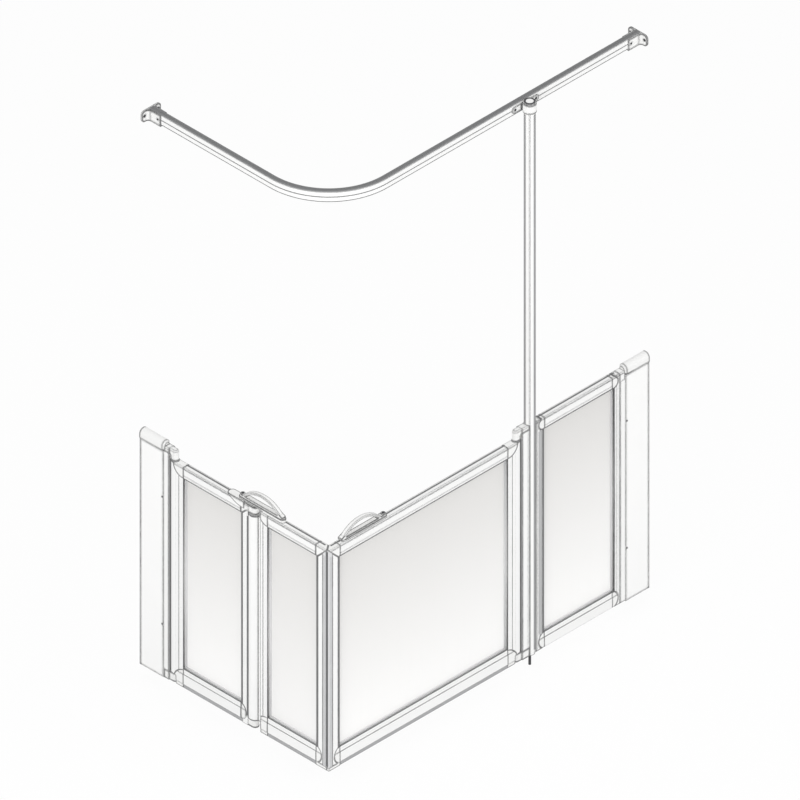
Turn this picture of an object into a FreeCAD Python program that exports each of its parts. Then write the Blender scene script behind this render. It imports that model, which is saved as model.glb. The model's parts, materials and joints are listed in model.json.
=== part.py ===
import FreeCAD, Part
import math
import os

# Half-height hinged shower screen. A single door and a two-leaf folding door meet at an open corner,
# a fixed panel and a support pole stand beside them, and an L-shaped curtain rail runs overhead.
# Lengths are millimetres and angles degrees. The origin is the pole's axis at floor level. The long
# side runs along X to the right wall, the short side along Y to the left wall, outside is -X and -Y.

# Footprint, measured from the axis of the pole
pole_to_right_wall = 515.0
pole_to_left_wall = 823.0
pole_to_left_side = 891.0

# Heights above the floor
door_top = 846.0
door_bottom = 14.0
sill_gap = 1.0
fixed_panel_rise = 37.0
fixed_panel_bottom = 2.0
post_rise = 22.0

# Frame extrusions
frame_thickness = 28.0
frame_wall = 2.0
edge_radius = 4.0
sill_edge_radius = 1.5
line_width = 1.2
line_depth = 0.8
channel_depth = 8.0
top_rail_height = 41.0
bottom_rail_height = 58.0
step_drop = 20.0
step_setback = 1.2
fold_stile_reach = 42.0
second_leaf_stile_width = 32.0
fixed_pole_stile_edge = 43.0
fixed_wall_stile_width = 25.0

# Glazing and gaskets
glazing_thickness = 5.0
glazing_bite = 5.0
gasket_lip = 3.0
gasket_reveal = 8.0
seat_clearance = 0.2

# Moulded corner blocks
block_reach = 9.0
block_bulge = 17.0

# Hinges
bulb_wall = 2.5
hinge_gap = 2.0
hinge_stile_reach = 48.0
corner_start = 3.0
nose_radius = 11.0
nose_fillet = 5.0
hook_radius = 10.0
hook_cap_height = 16.0
foot_gap = 3.0
pivot_gap = 1.6
top_bracket_height = 38.0
bottom_bracket_height = 32.0
pin_radius = 4.0
pin_clearance = 0.06
pin_seat = 20.0
plug_length = 25.0
plug_rim = 1.5
plug_flange = 1.2
door_pivot_to_pole = 63.0
jamb_reach = 37.0

# Folding door
first_leaf_length = 353.0
fold_bulb_radius = 21.0
fold_gap = 1.0
fold_nose_radius = 13.0
fold_bracket_height = 26.0
neck_thickness = 12.0
neck_reach = 36.0

# Closing edges and seals
door_panel_to_corner = 42.0
second_leaf_panel_to_corner = 49.0
seam_offset = 8.0
seam_lap = 0.7
seal_gap = 0.45
seal_backing = 2.0
door_seal_width = 15.0
second_leaf_seal_width = 17.5
seal_corner_radius = 3.0
wiper_carrier = 4.0
wiper_fin = 2.5

# Wall posts
post_width = 107.0
post_wall = 2.0
post_corner_radius = 1.5
tail_length = 30.0
adapter_width = 22.0
cap_height = 32.0
cap_lip = 1.0
cap_chamfer = 7.0
cap_skirt = 15.0
wall_hole_radius = 3.0
wall_hole_low = 150.0
wall_hole_spacing = 560.0

# Support pole
pole_radius = 18.0
pole_wall = 2.0
pole_rise = 2.0
flute_width = 6.0
flute_depth = 1.0
nest_clearance = 0.3
pole_cap_height = 3.0
pole_cap_chamfer = 1.2
pole_plug_length = 15.0
stud_radius = 4.5
stud_depth = 45.0
foot_plug_height = 30.0

# Curtain rail
rail_top = 2115.0
rail_height = 38.0
rail_width = 20.0
rail_wall = 2.0
rail_chamfer = 1.5
rail_inset = 31.0
rail_bend_radius = 250.0
glide_slot = 6.0
top_slot = 13.0
face_groove = 2.0
face_groove_depth = 0.8

# Rail wall brackets
flange_length = 84.0
flange_thickness = 6.0
flange_radius = 13.0
flange_hole_radius = 2.6
flange_hole_spacing = 62.0
saddle_length = 60.0
saddle_wall = 4.0
flare_radius = 12.0
grub_hole_radius = 2.5
grub_inset = 12.0

# Pole clamp on the rail
clamp_length = 119.0
clamp_height = 34.0
wing_height = 26.0
wing_radius = 11.0
clamp_collar_wall = 4.0
clamp_hole_radius = 2.2
clamp_hole_spacing = 92.0

# Handles
handle_length = 200.0
handle_pad_width = 24.0
handle_pad_height = 6.0
handle_bar_width = 18.0
handle_bar_height = 7.0
handle_arch_margin = 18.0
handle_arch_height = 51.0
handle_strap = 9.0
handle_strap_edge = 2.5
handle_foot_length = 20.0
handle_foot_height = 9.0
handle_boss_radius = 8.0
handle_boss_height = 3.0
handle_screw_radius = 2.5
door_handle_to_corner = 67.0
door_arch_shift = 13.0
fold_handle_overhang = 67.0
fold_arch_shift = 2.0
keeper_length = 80.0
keeper_thickness = 5.0
keeper_gap = 1.0
keeper_wall = 2.5
keeper_skirt = 20.0
keeper_to_fold = 34.0
keeper_belly_share = 0.85

# Length by which cutting tools run past what they cut, and the shortest edge worth drawing
overrun = 5.0
shortest_edge = 0.0001

Vector = FreeCAD.Vector
UP = Vector(0, 0, 1)
ACROSS = Vector(0, 1, 0)
ALONG = Vector(1, 0, 0)

# Values that follow from the sizes above
fixed_panel_top = door_top + fixed_panel_rise
post_height = door_top + post_rise
pole_top = rail_top + pole_rise
half_frame = frame_thickness / 2
half_sill = half_frame - sill_edge_radius
half_channel = glazing_thickness / 2 + gasket_lip + seat_clearance
bulb_bore = half_frame - bulb_wall
fold_bore = fold_bulb_radius - bulb_wall
nest_radius = fold_bulb_radius + fold_gap
jamb_face = -(half_frame + hinge_gap)
pole_nest_radius = pole_radius + nest_clearance
half_post = half_frame + seat_clearance + post_wall
left_pivot_y = pole_to_left_wall - post_width - jamb_reach
fold_y = left_pivot_y - first_leaf_length
jamb_top = door_top + pivot_gap
bulb_bottom = bottom_bracket_height + pivot_gap
fold_bulb_top = door_top - fold_bracket_height - pivot_gap
rail_middle = rail_top - rail_height / 2
door_corner = pole_to_left_side + half_frame - door_pivot_to_pole
handle_arch_span = handle_length - handle_arch_margin
second_leaf_corner = fold_y + half_frame
flute_angles = [45 + 60 * i for i in range(6)]

nodes = {}


def plan(x, y):
    """A point of a horizontal outline."""
    return Vector(x, y, 0)


def section(y, z):
    """A point of an outline square to the run of a rail."""
    return Vector(0, y, z)


def elevation(x, z):
    """A point of an outline seen from the front."""
    return Vector(x, 0, z)


def outline(corners, plane=plan):
    """A closed wire through the corners; a third number rounds its corner."""
    points = [plane(*corner[:2]) for corner in corners]
    spans = []
    for i, here in enumerate(points):
        radius = corners[i][2] if len(corners[i]) > 2 else 0
        before = (points[i - 1] - here).normalize()
        after = (points[(i + 1) % len(points)] - here).normalize()
        if radius > 0:
            half = before.getAngle(after) / 2
            reach = radius / math.tan(half)
            middle = here + (before + after).normalize() * (radius / math.sin(half) - radius)
            spans.append((here + before * reach, middle, here + after * reach))
        else:
            spans.append((here, None, here))
    edges = []
    for i, (start, middle, end) in enumerate(spans):
        if middle is not None:
            edges.append(Part.Arc(start, middle, end).toShape())
        following = spans[(i + 1) % len(spans)][0]
        if end.distanceToPoint(following) > shortest_edge:
            edges.append(Part.makeLine(end, following))
    return Part.Wire(edges)


def line(start, end):
    """A straight edge between two points."""
    return Part.makeLine(start, end)


def arc(start, middle, end):
    """A circular edge through three points."""
    return Part.Arc(start, middle, end).toShape()


def circle(x, y, radius):
    """A horizontal circle as a wire."""
    return Part.Wire(Part.makeCircle(radius, plan(x, y)))


def sheet(wire, *holes):
    """A flat face inside a wire, with the faces inside the other wires taken out."""
    face = Part.Face(wire)
    for hole in holes:
        face = face.cut(Part.Face(hole))
    return face


def raised(face, z_low, z_high):
    """A horizontal face raised between two heights."""
    shape = face.extrude(UP * (z_high - z_low))
    shape.translate(UP * z_low)
    return shape


def prism(wire, z_low, z_high):
    """A horizontal outline raised between two heights."""
    return raised(sheet(wire), z_low, z_high)


def run(face, x_low, x_high):
    """A face square to X drawn out along X."""
    shape = face.extrude(ALONG * (x_high - x_low))
    shape.translate(ALONG * x_low)
    return shape


def slab(wire, half_width):
    """A front outline given a thickness, centred on the frame's middle plane."""
    shape = Part.Face(wire).extrude(ACROSS * (2 * half_width))
    shape.translate(ACROSS * -half_width)
    return shape


def block(x_low, x_high, y_half, z_low, z_high):
    """A plain bar centred on the frame's middle plane."""
    corner = Vector(min(x_low, x_high), -y_half, min(z_low, z_high))
    return Part.makeBox(abs(x_high - x_low), 2 * y_half, abs(z_high - z_low), corner)


def post(x, y, radius, z_low, z_high):
    """An upright round bar."""
    return Part.makeCylinder(radius, z_high - z_low, Vector(x, y, z_low), UP)


def whole(shape):
    """The shape with faces that lie in one surface joined."""
    return shape.removeSplitter()


def solids_of(shape, smallest_share=0.001):
    """The shape's solids, without crumbs left by a cut."""
    largest = max(solid.Volume for solid in shape.Solids)
    return [solid for solid in shape.Solids if solid.Volume > largest * smallest_share]


def set_out(shape, turn, at):
    """The shape turned about the upright axis and moved to its place."""
    moved = shape.copy()
    moved.rotate(Vector(0, 0, 0), UP, turn)
    moved.translate(at)
    return moved


def hollowed(shape, x_low, x_high, z_low, z_high):
    """An upright extrusion with a chamber between two of its walls."""
    return shape.cut(block(x_low, x_high, half_frame - frame_wall, z_low, z_high))


def lined(shape, x_line, z_low, z_high):
    """An upright extrusion with a fine line along both its faces."""
    for face in (-1, 1):
        y_open = face * (half_frame + line_depth)
        corners = [
            (x_line - line_width, y_open),
            (x_line, face * (half_frame - line_depth)),
            (x_line + line_width, y_open),
        ]
        shape = shape.cut(prism(outline(corners), z_low, z_high))
    return shape


class Bay:
    """A local frame: x runs along the leaf from its hinge axis, y across it, z up."""

    def __init__(self, turn, x, y, outward):
        self.turn = turn
        self.at = Vector(x, y, 0)
        self.outward = outward

    def add(self, name, *shapes):
        """Places shapes from the local frame and files them under a node's name."""
        placed = [set_out(shape, self.turn, self.at) for shape in shapes]
        solids = [solid for shape in placed for solid in solids_of(shape)]
        nodes.setdefault(name, []).extend(solids)

    def facing(self, corners):
        """Plan corners whose y is measured towards the outside."""
        return [(corner[0], corner[1] * self.outward) + tuple(corner[2:]) for corner in corners]


door_bay = Bay(180, -door_pivot_to_pole, 0, 1)
first_bay = Bay(-90, -pole_to_left_side, left_pivot_y, -1)
second_bay = Bay(-90, -pole_to_left_side, fold_y, -1)
fixed_bay = Bay(0, 0, 0, -1)
left_post_bay = Bay(-90, -pole_to_left_side, pole_to_left_wall, -1)
right_post_bay = Bay(180, pole_to_right_wall, 0, 1)


class Opening:
    """The clear opening of a frame, between its stiles and its rails."""

    def __init__(self, near, far, low, high):
        self.near = near
        self.far = far
        self.low = low
        self.high = high

    def box(self, grow, half_width):
        """The opening as a bar, grown on all four sides."""
        return block(self.near - grow, self.far + grow, half_width, self.low - grow, self.high + grow)

    def channel(self):
        """The groove that the gasket sits in."""
        return self.box(channel_depth, half_channel)

    def glazing(self):
        """The panel, held by its edges in the gasket."""
        return self.box(glazing_bite, glazing_thickness / 2)

    def gasket(self):
        """The gasket round the panel: two lips and the edge between them."""
        ring = self.box(channel_depth - seat_clearance, half_channel - seat_clearance)
        ring = ring.cut(self.box(-gasket_reveal, half_channel))
        return ring.cut(self.box(glazing_bite + seat_clearance, glazing_thickness / 2 + seat_clearance))


def rail_outline(z_panel, z_edge, step=0):
    """The outer section of a rail, without its channel: stepped at the panel, or lined below a round edge."""
    way = math.copysign(1, z_edge - z_panel)
    if step:
        rounding = sill_edge_radius
        y_step = step_setback - half_frame
        z_step = z_panel + way * step
        left = [(y_step, z_panel), (y_step, z_step), (-half_frame, z_step)]
    else:
        rounding = edge_radius
        z_line = z_edge - way * (edge_radius + line_width)
        rise = way * line_width / 2
        left = [
            (-half_frame, z_panel),
            (-half_frame, z_line - rise),
            (line_depth - half_frame, z_line),
            (-half_frame, z_line + rise),
        ]
    right = [(-y, z) for y, z in reversed(left)]
    edge = [(-half_frame, z_edge, rounding), (half_frame, z_edge, rounding)]
    return outline(left + edge + right, section)


def rail_bar(x_low, x_high, z_panel, z_edge, step=0):
    """A solid bar with a rail's outer section."""
    return run(sheet(rail_outline(z_panel, z_edge, step)), x_low, x_high)


def rail(x_low, x_high, z_panel, z_edge, opening, step=0):
    """A hollow rail with the gasket's channel along its panel side."""
    way = math.copysign(1, z_edge - z_panel)
    z_near = z_panel + way * (channel_depth + frame_wall)
    z_far = z_edge - way * frame_wall
    y_in = half_frame - frame_wall - (step_setback if step else 0)
    round_in = max(0, (sill_edge_radius if step else edge_radius) - frame_wall)
    cavity = outline(
        [(-y_in, z_near), (-y_in, z_far, round_in), (y_in, z_far, round_in), (y_in, z_near)], section
    )
    profile = sheet(rail_outline(z_panel, z_edge, step), cavity)
    return run(profile, x_low, x_high).cut(opening.channel())


def mitre_region(x_edge, side, z_panel, z_edge):
    """The front of a mitred corner block, as a cutting slab."""
    way = math.copysign(1, z_edge - z_panel)
    rise = abs(z_edge - z_panel) + overrun
    start = x_edge - side * block_reach
    front = [
        (start, z_panel),
        (x_edge, z_panel),
        (x_edge + side * rise, z_panel + way * rise),
        (start, z_panel + way * rise),
    ]
    return slab(outline(front, elevation), frame_thickness)


def lens_region(x_edge, side, z_panel, z_edge):
    """The front of a corner block whose far edge is an arc, as a cutting slab."""
    start = x_edge - side * block_reach
    bulge = elevation(x_edge + side * block_bulge, (z_panel + z_edge) / 2)
    edges = [
        line(elevation(start, z_edge), elevation(start, z_panel)),
        line(elevation(start, z_panel), elevation(x_edge, z_panel)),
        arc(elevation(x_edge, z_panel), bulge, elevation(x_edge, z_edge)),
        line(elevation(x_edge, z_edge), elevation(start, z_edge)),
    ]
    return slab(Part.Wire(edges), frame_thickness)


def quarter_region(x_centre, z_panel, z_edge):
    """The front of a quarter-round corner block, as a cutting drum about a point on the frame's edge."""
    centre = Vector(x_centre, -frame_thickness, z_edge)
    return Part.makeCylinder(abs(z_edge - z_panel), 2 * frame_thickness, centre, ACROSS)


def hinge_region(z_panel, z_edge):
    """The quarter-round region of a corner block that starts just beside a hinge axis."""
    return quarter_region(corner_start + abs(z_edge - z_panel), z_panel, z_edge)


def hinge_outline(reach, half_web, bulb_radius):
    """The outer plan of a hinge extrusion: a round bulb on a flat web."""
    x_meet = math.sqrt(bulb_radius**2 - half_web**2)
    edges = [
        line(plan(reach, -half_web), plan(x_meet, -half_web)),
        arc(plan(x_meet, -half_web), plan(-bulb_radius, 0), plan(x_meet, half_web)),
        line(plan(x_meet, half_web), plan(reach, half_web)),
        line(plan(reach, half_web), plan(reach, -half_web)),
    ]
    return Part.Wire(edges)


def nested_sheet(x_far, x_axis, radius):
    """A plan as thick as the frame, hollowed at one end round an upright axis."""
    x_horn = x_axis + math.copysign(math.sqrt(radius**2 - half_frame**2), x_far - x_axis)
    corners = [(x_far, -half_frame), (x_horn, -half_frame), (x_horn, half_frame), (x_far, half_frame)]
    return sheet(outline(corners), circle(x_axis, 0, radius))


def pivot_plugs(z_low, z_high, bore_radius):
    """The two nylon plugs in the ends of a bulb, with flanges that carry the leaf."""
    plugs = []
    for z_end, way in ((z_low, -1), (z_high, 1)):
        z_inner = z_end - way * plug_length
        z_outer = z_end + way * plug_flange
        body = post(0, 0, bore_radius - seat_clearance, min(z_inner, z_end), max(z_inner, z_end))
        rim = post(0, 0, bore_radius + plug_rim, min(z_end, z_outer), max(z_end, z_outer))
        bore = post(0, 0, pin_radius + pin_clearance, z_low - overrun, z_high + overrun)
        plugs.append(whole(body.fuse(rim)).cut(bore))
    return plugs


def pivot_pins(z_low, z_high):
    """The two pins that stand in the brackets and turn in the plugs."""
    reach = plug_length - pivot_gap
    low = post(0, 0, pin_radius, z_low - pivot_gap - pin_seat, z_low + reach)
    high = post(0, 0, pin_radius, z_high - reach, z_high + pivot_gap + pin_seat)
    return [low, high]


def pin_holes(z_low, z_high):
    """The round holes for the pins in the brackets above and below a bulb."""
    radius = pin_radius + pin_clearance
    low = post(0, 0, radius, z_low - pivot_gap - pin_seat - pin_clearance, z_low)
    high = post(0, 0, radius, z_high, z_high + pivot_gap + pin_seat + pin_clearance)
    return [low, high]


def nose(z_low, z_high):
    """The tongue of a pivot bracket, from the face of the jamb to round the hinge axis."""
    x_root = jamb_face - frame_wall
    edges = [
        line(plan(x_root, -nose_radius), plan(0, -nose_radius)),
        arc(plan(0, -nose_radius), plan(nose_radius, 0), plan(0, nose_radius)),
        line(plan(0, nose_radius), plan(x_root, nose_radius)),
        line(plan(x_root, nose_radius), plan(x_root, -nose_radius)),
    ]
    return prism(Part.Wire(edges), z_low, z_high)


def eased(shape, x_start):
    """The shape with its top rim rounded, but for the edge it starts from."""
    z_top = shape.BoundBox.ZMax - shortest_edge
    rim = [e for e in shape.Edges if e.BoundBox.ZMin > z_top and e.BoundBox.XMax > x_start + shortest_edge]
    return shape.makeFillet(nose_fillet, rim)


def bottom_bracket(reach):
    """The pivot bracket under a bulb, which also carries the jamb."""
    foot = block(-reach, jamb_face, half_frame, 0, bottom_bracket_height)
    return whole(foot.fuse(nose(0, bottom_bracket_height)))


def top_bracket(reach):
    """The pivot bracket over a bulb: a cap on the jamb that hooks down to the leaf."""
    z_top = jamb_top + top_bracket_height
    z_cap = z_top - hook_cap_height
    cap = eased(block(-reach, jamb_face, half_frame, jamb_top, z_top), -reach)
    tongue = eased(nose(jamb_top, z_top), jamb_face - frame_wall)
    hollow = [
        (-reach - overrun, jamb_top - overrun),
        (-nose_radius, jamb_top - overrun),
        (-nose_radius, z_cap, hook_radius),
        (-reach - overrun, z_cap),
    ]
    return whole(cap.fuse(tongue).cut(slab(outline(hollow, elevation), frame_thickness)))


def hinge_stile(opening):
    """The hollow hinge extrusion of a leaf, scooped at both ends for its corner blocks."""
    x_cavity = half_frame
    x_channel = hinge_stile_reach - channel_depth - frame_wall
    y_cavity = half_frame - frame_wall
    cavity = outline(
        [(x_cavity, -y_cavity), (x_channel, -y_cavity), (x_channel, y_cavity), (x_cavity, y_cavity)]
    )
    outer = hinge_outline(hinge_stile_reach, half_frame, half_frame)
    profile = sheet(outer, circle(0, 0, bulb_bore), cavity)
    shape = raised(profile, bulb_bottom, door_top).cut(opening.channel())
    shape = lined(shape, hinge_stile_reach - step_drop, bulb_bottom, door_top)
    shape = shape.cut(hinge_region(opening.high, door_top))
    return shape.cut(hinge_region(opening.low, door_bottom))


def hinge_blocks(opening):
    """The moulded quarter-round corners of a leaf beside its hinge axis."""
    plug_bore = post(0, 0, bulb_bore, door_bottom - overrun, door_top + overrun)
    foot_start = nose_radius + foot_gap
    shapes = []
    for z_panel, z_edge, step in ((opening.high, door_top, 0), (opening.low, door_bottom, step_drop)):
        shape = rail_bar(0, hinge_stile_reach, z_panel, z_edge, step)
        shape = shape.cut(block(0, foot_start, frame_thickness, bulb_bottom, door_bottom - overrun))
        shape = shape.common(hinge_region(z_panel, z_edge))
        shapes.append(shape.cut(plug_bore).cut(opening.channel()))
    shapes[1] = shapes[1].fuse(sill_foot(foot_start, hinge_stile_reach))
    return [whole(shape) for shape in shapes]


def sill_foot(x_low, x_high):
    """The foot of a corner block, between its rail and the sill."""
    return block(x_low, x_high, half_sill, sill_gap, door_bottom)


def closing_blocks(bay, opening, plan_end):
    """The mitred top corner and the arched bottom corner with its foot, at a closing edge."""
    x_edge = opening.far
    corners = [(x_edge - block_reach, half_frame)] + plan_end + [(x_edge - block_reach, -half_frame)]
    plan_wire = outline(bay.facing(corners))
    x_end = max(corner[0] for corner in corners)
    top = rail_bar(x_edge - block_reach, x_end, opening.high, door_top)
    top = top.common(prism(plan_wire, opening.high, door_top))
    top = top.common(mitre_region(x_edge, 1, opening.high, door_top))
    lens = rail_bar(x_edge - block_reach, x_end, opening.low, door_bottom, step_drop)
    lens = lens.common(lens_region(x_edge, 1, opening.low, door_bottom))
    lens = lens.common(prism(plan_wire, door_bottom, opening.low))
    foot = prism(plan_wire, sill_gap, door_bottom)
    bottom = whole(lens.fuse(foot))
    return [top.cut(opening.channel()), bottom.cut(opening.channel())]


def closing_stile(bay, opening, end_outer, end_inner):
    """The stile at a closing edge, shaped for its corner blocks."""
    x_edge = opening.far
    corners = [
        (x_edge, half_frame),
        (end_outer, half_frame),
        (end_inner, -half_frame),
        (x_edge, -half_frame),
    ]
    shape = prism(outline(bay.facing(corners)), door_bottom, door_top)
    return closing_trim(shape, opening).cut(opening.channel())


def closing_trim(shape, opening):
    """Takes the room of the closing corner blocks out of a stile or seal."""
    shape = shape.cut(mitre_region(opening.far, 1, opening.high, door_top))
    return shape.cut(lens_region(opening.far, 1, opening.low, door_bottom))


def bottom_seal(x_low, x_high):
    """The wiper along a leaf's bottom rail: a carrier with a fin down each side to the sill."""
    fin_in = half_sill - wiper_fin
    z_carrier = door_bottom - wiper_carrier
    right = [(half_sill, door_bottom), (half_sill, sill_gap), (fin_in, sill_gap), (fin_in, z_carrier)]
    left = [(-y, z) for y, z in reversed(right)]
    return run(sheet(outline(right + left, section)), x_low, x_high)


def rounded_bar(x_low, x_high, width, z_low, z_high):
    """A flat bar with half-round ends."""
    half = width / 2
    edges = [
        line(plan(x_low + half, -half), plan(x_high - half, -half)),
        arc(plan(x_high - half, -half), plan(x_high, 0), plan(x_high - half, half)),
        line(plan(x_high - half, half), plan(x_low + half, half)),
        arc(plan(x_low + half, half), plan(x_low, 0), plan(x_low + half, -half)),
    ]
    return prism(Part.Wire(edges), z_low, z_high)


def handle_arch(x_middle, z_foot, z_crown):
    """The strap of a loop handle: a bent flat bar with eased edges."""
    half_span = handle_arch_span / 2
    rise = z_crown - z_foot
    radius = (half_span**2 + rise**2) / (2 * rise)
    centre = Vector(x_middle, -handle_bar_width / 2, z_crown - radius)
    outer = Part.makeCylinder(radius, handle_bar_width, centre, ACROSS)
    inner = Part.makeCylinder(radius - handle_strap, handle_bar_width, centre, ACROSS)
    strap = outer.cut(inner)
    strap = strap.makeChamfer(handle_strap_edge, [e for e in strap.Edges if len(e.Vertexes) == 1])
    window = block(x_middle - half_span, x_middle + half_span, handle_bar_width, z_foot, z_crown + overrun)
    return strap.common(window)


def handle(x_low, x_high, x_arch, z_seat):
    """A loop handle: a pad, a bar on it, a strap arched over the bar, a foot block and a screw boss."""
    z_pad = z_seat + handle_pad_height
    z_bar = z_pad + handle_bar_height
    half_span = handle_arch_span / 2
    shape = rounded_bar(x_low, x_high, handle_pad_width, z_seat, z_pad)
    ease = (handle_pad_width - handle_bar_width) / 2
    shape = shape.fuse(rounded_bar(x_low + ease, x_high - ease, handle_bar_width, z_pad, z_bar))
    shape = shape.fuse(handle_arch(x_arch, z_pad, z_seat + handle_arch_height))
    foot_end = x_arch + half_span
    foot_top = z_bar + handle_foot_height
    foot = [
        (foot_end - handle_foot_length, z_pad),
        (foot_end, z_pad),
        (foot_end, z_bar),
        (foot_end - handle_foot_length, foot_top),
    ]
    shape = shape.fuse(slab(outline(foot, elevation), handle_bar_width / 2))
    x_boss = x_low + handle_pad_width / 2
    shape = shape.fuse(post(x_boss, 0, handle_boss_radius, z_pad, z_bar + handle_boss_height))
    return whole(shape.cut(post(x_boss, 0, handle_screw_radius, z_pad, foot_top)))


def wall_post():
    """A deep channel whose web is screwed to the wall."""
    inner = half_post - post_wall
    wire = outline(
        [
            (0, -half_post, post_corner_radius),
            (post_width, -half_post),
            (post_width, -inner),
            (post_wall, -inner),
            (post_wall, inner),
            (post_width, inner),
            (post_width, half_post),
            (0, half_post, post_corner_radius),
        ]
    )
    shape = prism(wire, 0, post_height)
    for z_hole in (wall_hole_low, wall_hole_low + wall_hole_spacing):
        drill = Part.makeCylinder(wall_hole_radius, 2 * overrun, Vector(-overrun, 0, z_hole), ALONG)
        shape = shape.cut(drill)
    return shape


def post_cap():
    """An arched cap with a skirt that plugs the top of a wall post."""
    half_cap = half_post + cap_lip
    z_spring = post_height + cap_height - half_cap
    edges = [
        line(section(-half_cap, post_height), section(half_cap, post_height)),
        line(section(half_cap, post_height), section(half_cap, z_spring)),
        arc(section(half_cap, z_spring), section(0, post_height + cap_height), section(-half_cap, z_spring)),
        line(section(-half_cap, z_spring), section(-half_cap, post_height)),
    ]
    shape = run(sheet(Part.Wire(edges)), 0, post_width)
    crown = [
        e
        for e in shape.Edges
        if e.BoundBox.XMin > post_width - shortest_edge and e.BoundBox.ZMax > post_height + overrun
    ]
    shape = shape.makeChamfer(cap_chamfer, crown)
    x_skirt = post_wall + seat_clearance
    y_skirt = half_post - post_wall - seat_clearance
    x_skirt_end = post_width - tail_length - overrun
    return whole(shape.fuse(block(x_skirt, x_skirt_end, y_skirt, post_height - cap_skirt, post_height)))


def build_wall_posts():
    """Both wall posts with their caps."""
    for side, bay in (("left", left_post_bay), ("right", right_post_bay)):
        bay.add(side + "_wall_post", wall_post())
        bay.add(side + "_post_cap", post_cap())


def build_hinge_post(bay, side, jamb, reach, relief=()):
    """A jamb with a pivot bracket above and below the bulb, and the pins in them."""
    low = bottom_bracket(reach)
    high = top_bracket(reach)
    for cutter in pin_holes(bulb_bottom, door_top) + list(relief):
        low = low.cut(cutter)
        high = high.cut(cutter)
    bay.add(side + "_hinge_jamb", jamb.cut(high))
    bay.add(side + "_pivot_brackets", low, high)
    bay.add(side + "_pivot_pins", *pivot_pins(bulb_bottom, door_top))


def jamb_between(x_far, x_cavity):
    """A hollow jamb beside the bulb, from the bottom bracket to the cap of the top one."""
    z_cap = jamb_top + top_bracket_height - hook_cap_height
    shape = block(x_far, jamb_face, half_frame, bottom_bracket_height, z_cap)
    return shape.cut(block(x_cavity, jamb_face - frame_wall, half_frame - frame_wall, 0, z_cap + overrun))


def build_jambs():
    """The jamb in the left wall post and the jamb on the pole."""
    x_tail = -jamb_reach - tail_length
    under_cap = post_height - seat_clearance
    cap_room = block(x_tail, -jamb_reach, frame_thickness, under_cap, pole_top)
    in_post = jamb_between(x_tail, x_tail + frame_wall).cut(cap_room)
    build_hinge_post(first_bay, "left", in_post, jamb_reach)
    x_pole = -door_pivot_to_pole
    pole_nest = post(x_pole, 0, pole_nest_radius, -overrun, pole_top)
    on_pole = jamb_between(x_pole, x_pole + pole_nest_radius + frame_wall).cut(pole_nest)
    build_hinge_post(door_bay, "door", on_pole, door_pivot_to_pole, [pole_nest])


def build_leaf_frame(bay, name, opening, near_end, far_end):
    """The rails, glazing and gasket of a leaf."""
    bay.add(name + "_top_rail", rail(near_end, far_end, opening.high, door_top, opening))
    bay.add(name + "_bottom_rail", rail(near_end, far_end, opening.low, door_bottom, opening, step_drop))
    bay.add(name + "_glazing", opening.glazing())
    bay.add(name + "_gasket", opening.gasket())


def leaf_opening(near, far):
    """The clear opening of a leaf between two stile edges."""
    return Opening(near, far, door_bottom + bottom_rail_height, door_top - top_rail_height)


def build_door():
    """The single door: hinge stile, closing stile, rails, glazing, seals and handle."""
    bay = door_bay
    opening = leaf_opening(hinge_stile_reach, door_corner - door_panel_to_corner)
    build_leaf_frame(bay, "door", opening, hinge_stile_reach, opening.far - block_reach)
    bay.add("door_hinge_stile", hinge_stile(opening))
    bay.add("door_pivot_plugs", *pivot_plugs(bulb_bottom, door_top, bulb_bore))

    seam_slope = frame_thickness / (frame_thickness - seam_offset + seam_lap)
    seam_end = door_corner - frame_thickness + seam_lap * seam_slope - seal_gap
    stile_end_outer = door_corner - door_seal_width
    stile_end_inner = seam_end - seal_backing
    seal_tip = [
        (door_corner, half_frame, seal_corner_radius),
        (door_corner, half_frame - seam_offset + seal_gap),
        (seam_end, -half_frame),
    ]
    bay.add("door_closing_stile", closing_stile(bay, opening, stile_end_outer, stile_end_inner))
    seal_plan = [(stile_end_outer, half_frame)] + seal_tip + [(stile_end_inner, -half_frame)]
    seal = prism(outline(bay.facing(seal_plan)), door_bottom, door_top)
    bay.add("door_magnet_seal", closing_trim(seal, opening))
    bay.add("door_corner_blocks", *hinge_blocks(opening), *closing_blocks(bay, opening, seal_tip))
    bay.add("door_bottom_seal", bottom_seal(hinge_stile_reach, opening.far - block_reach))
    handle_end = door_corner - door_handle_to_corner
    arch_middle = handle_end - handle_length / 2 + door_arch_shift
    bay.add("door_handle", handle(handle_end - handle_length, handle_end, arch_middle, door_top))


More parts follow.
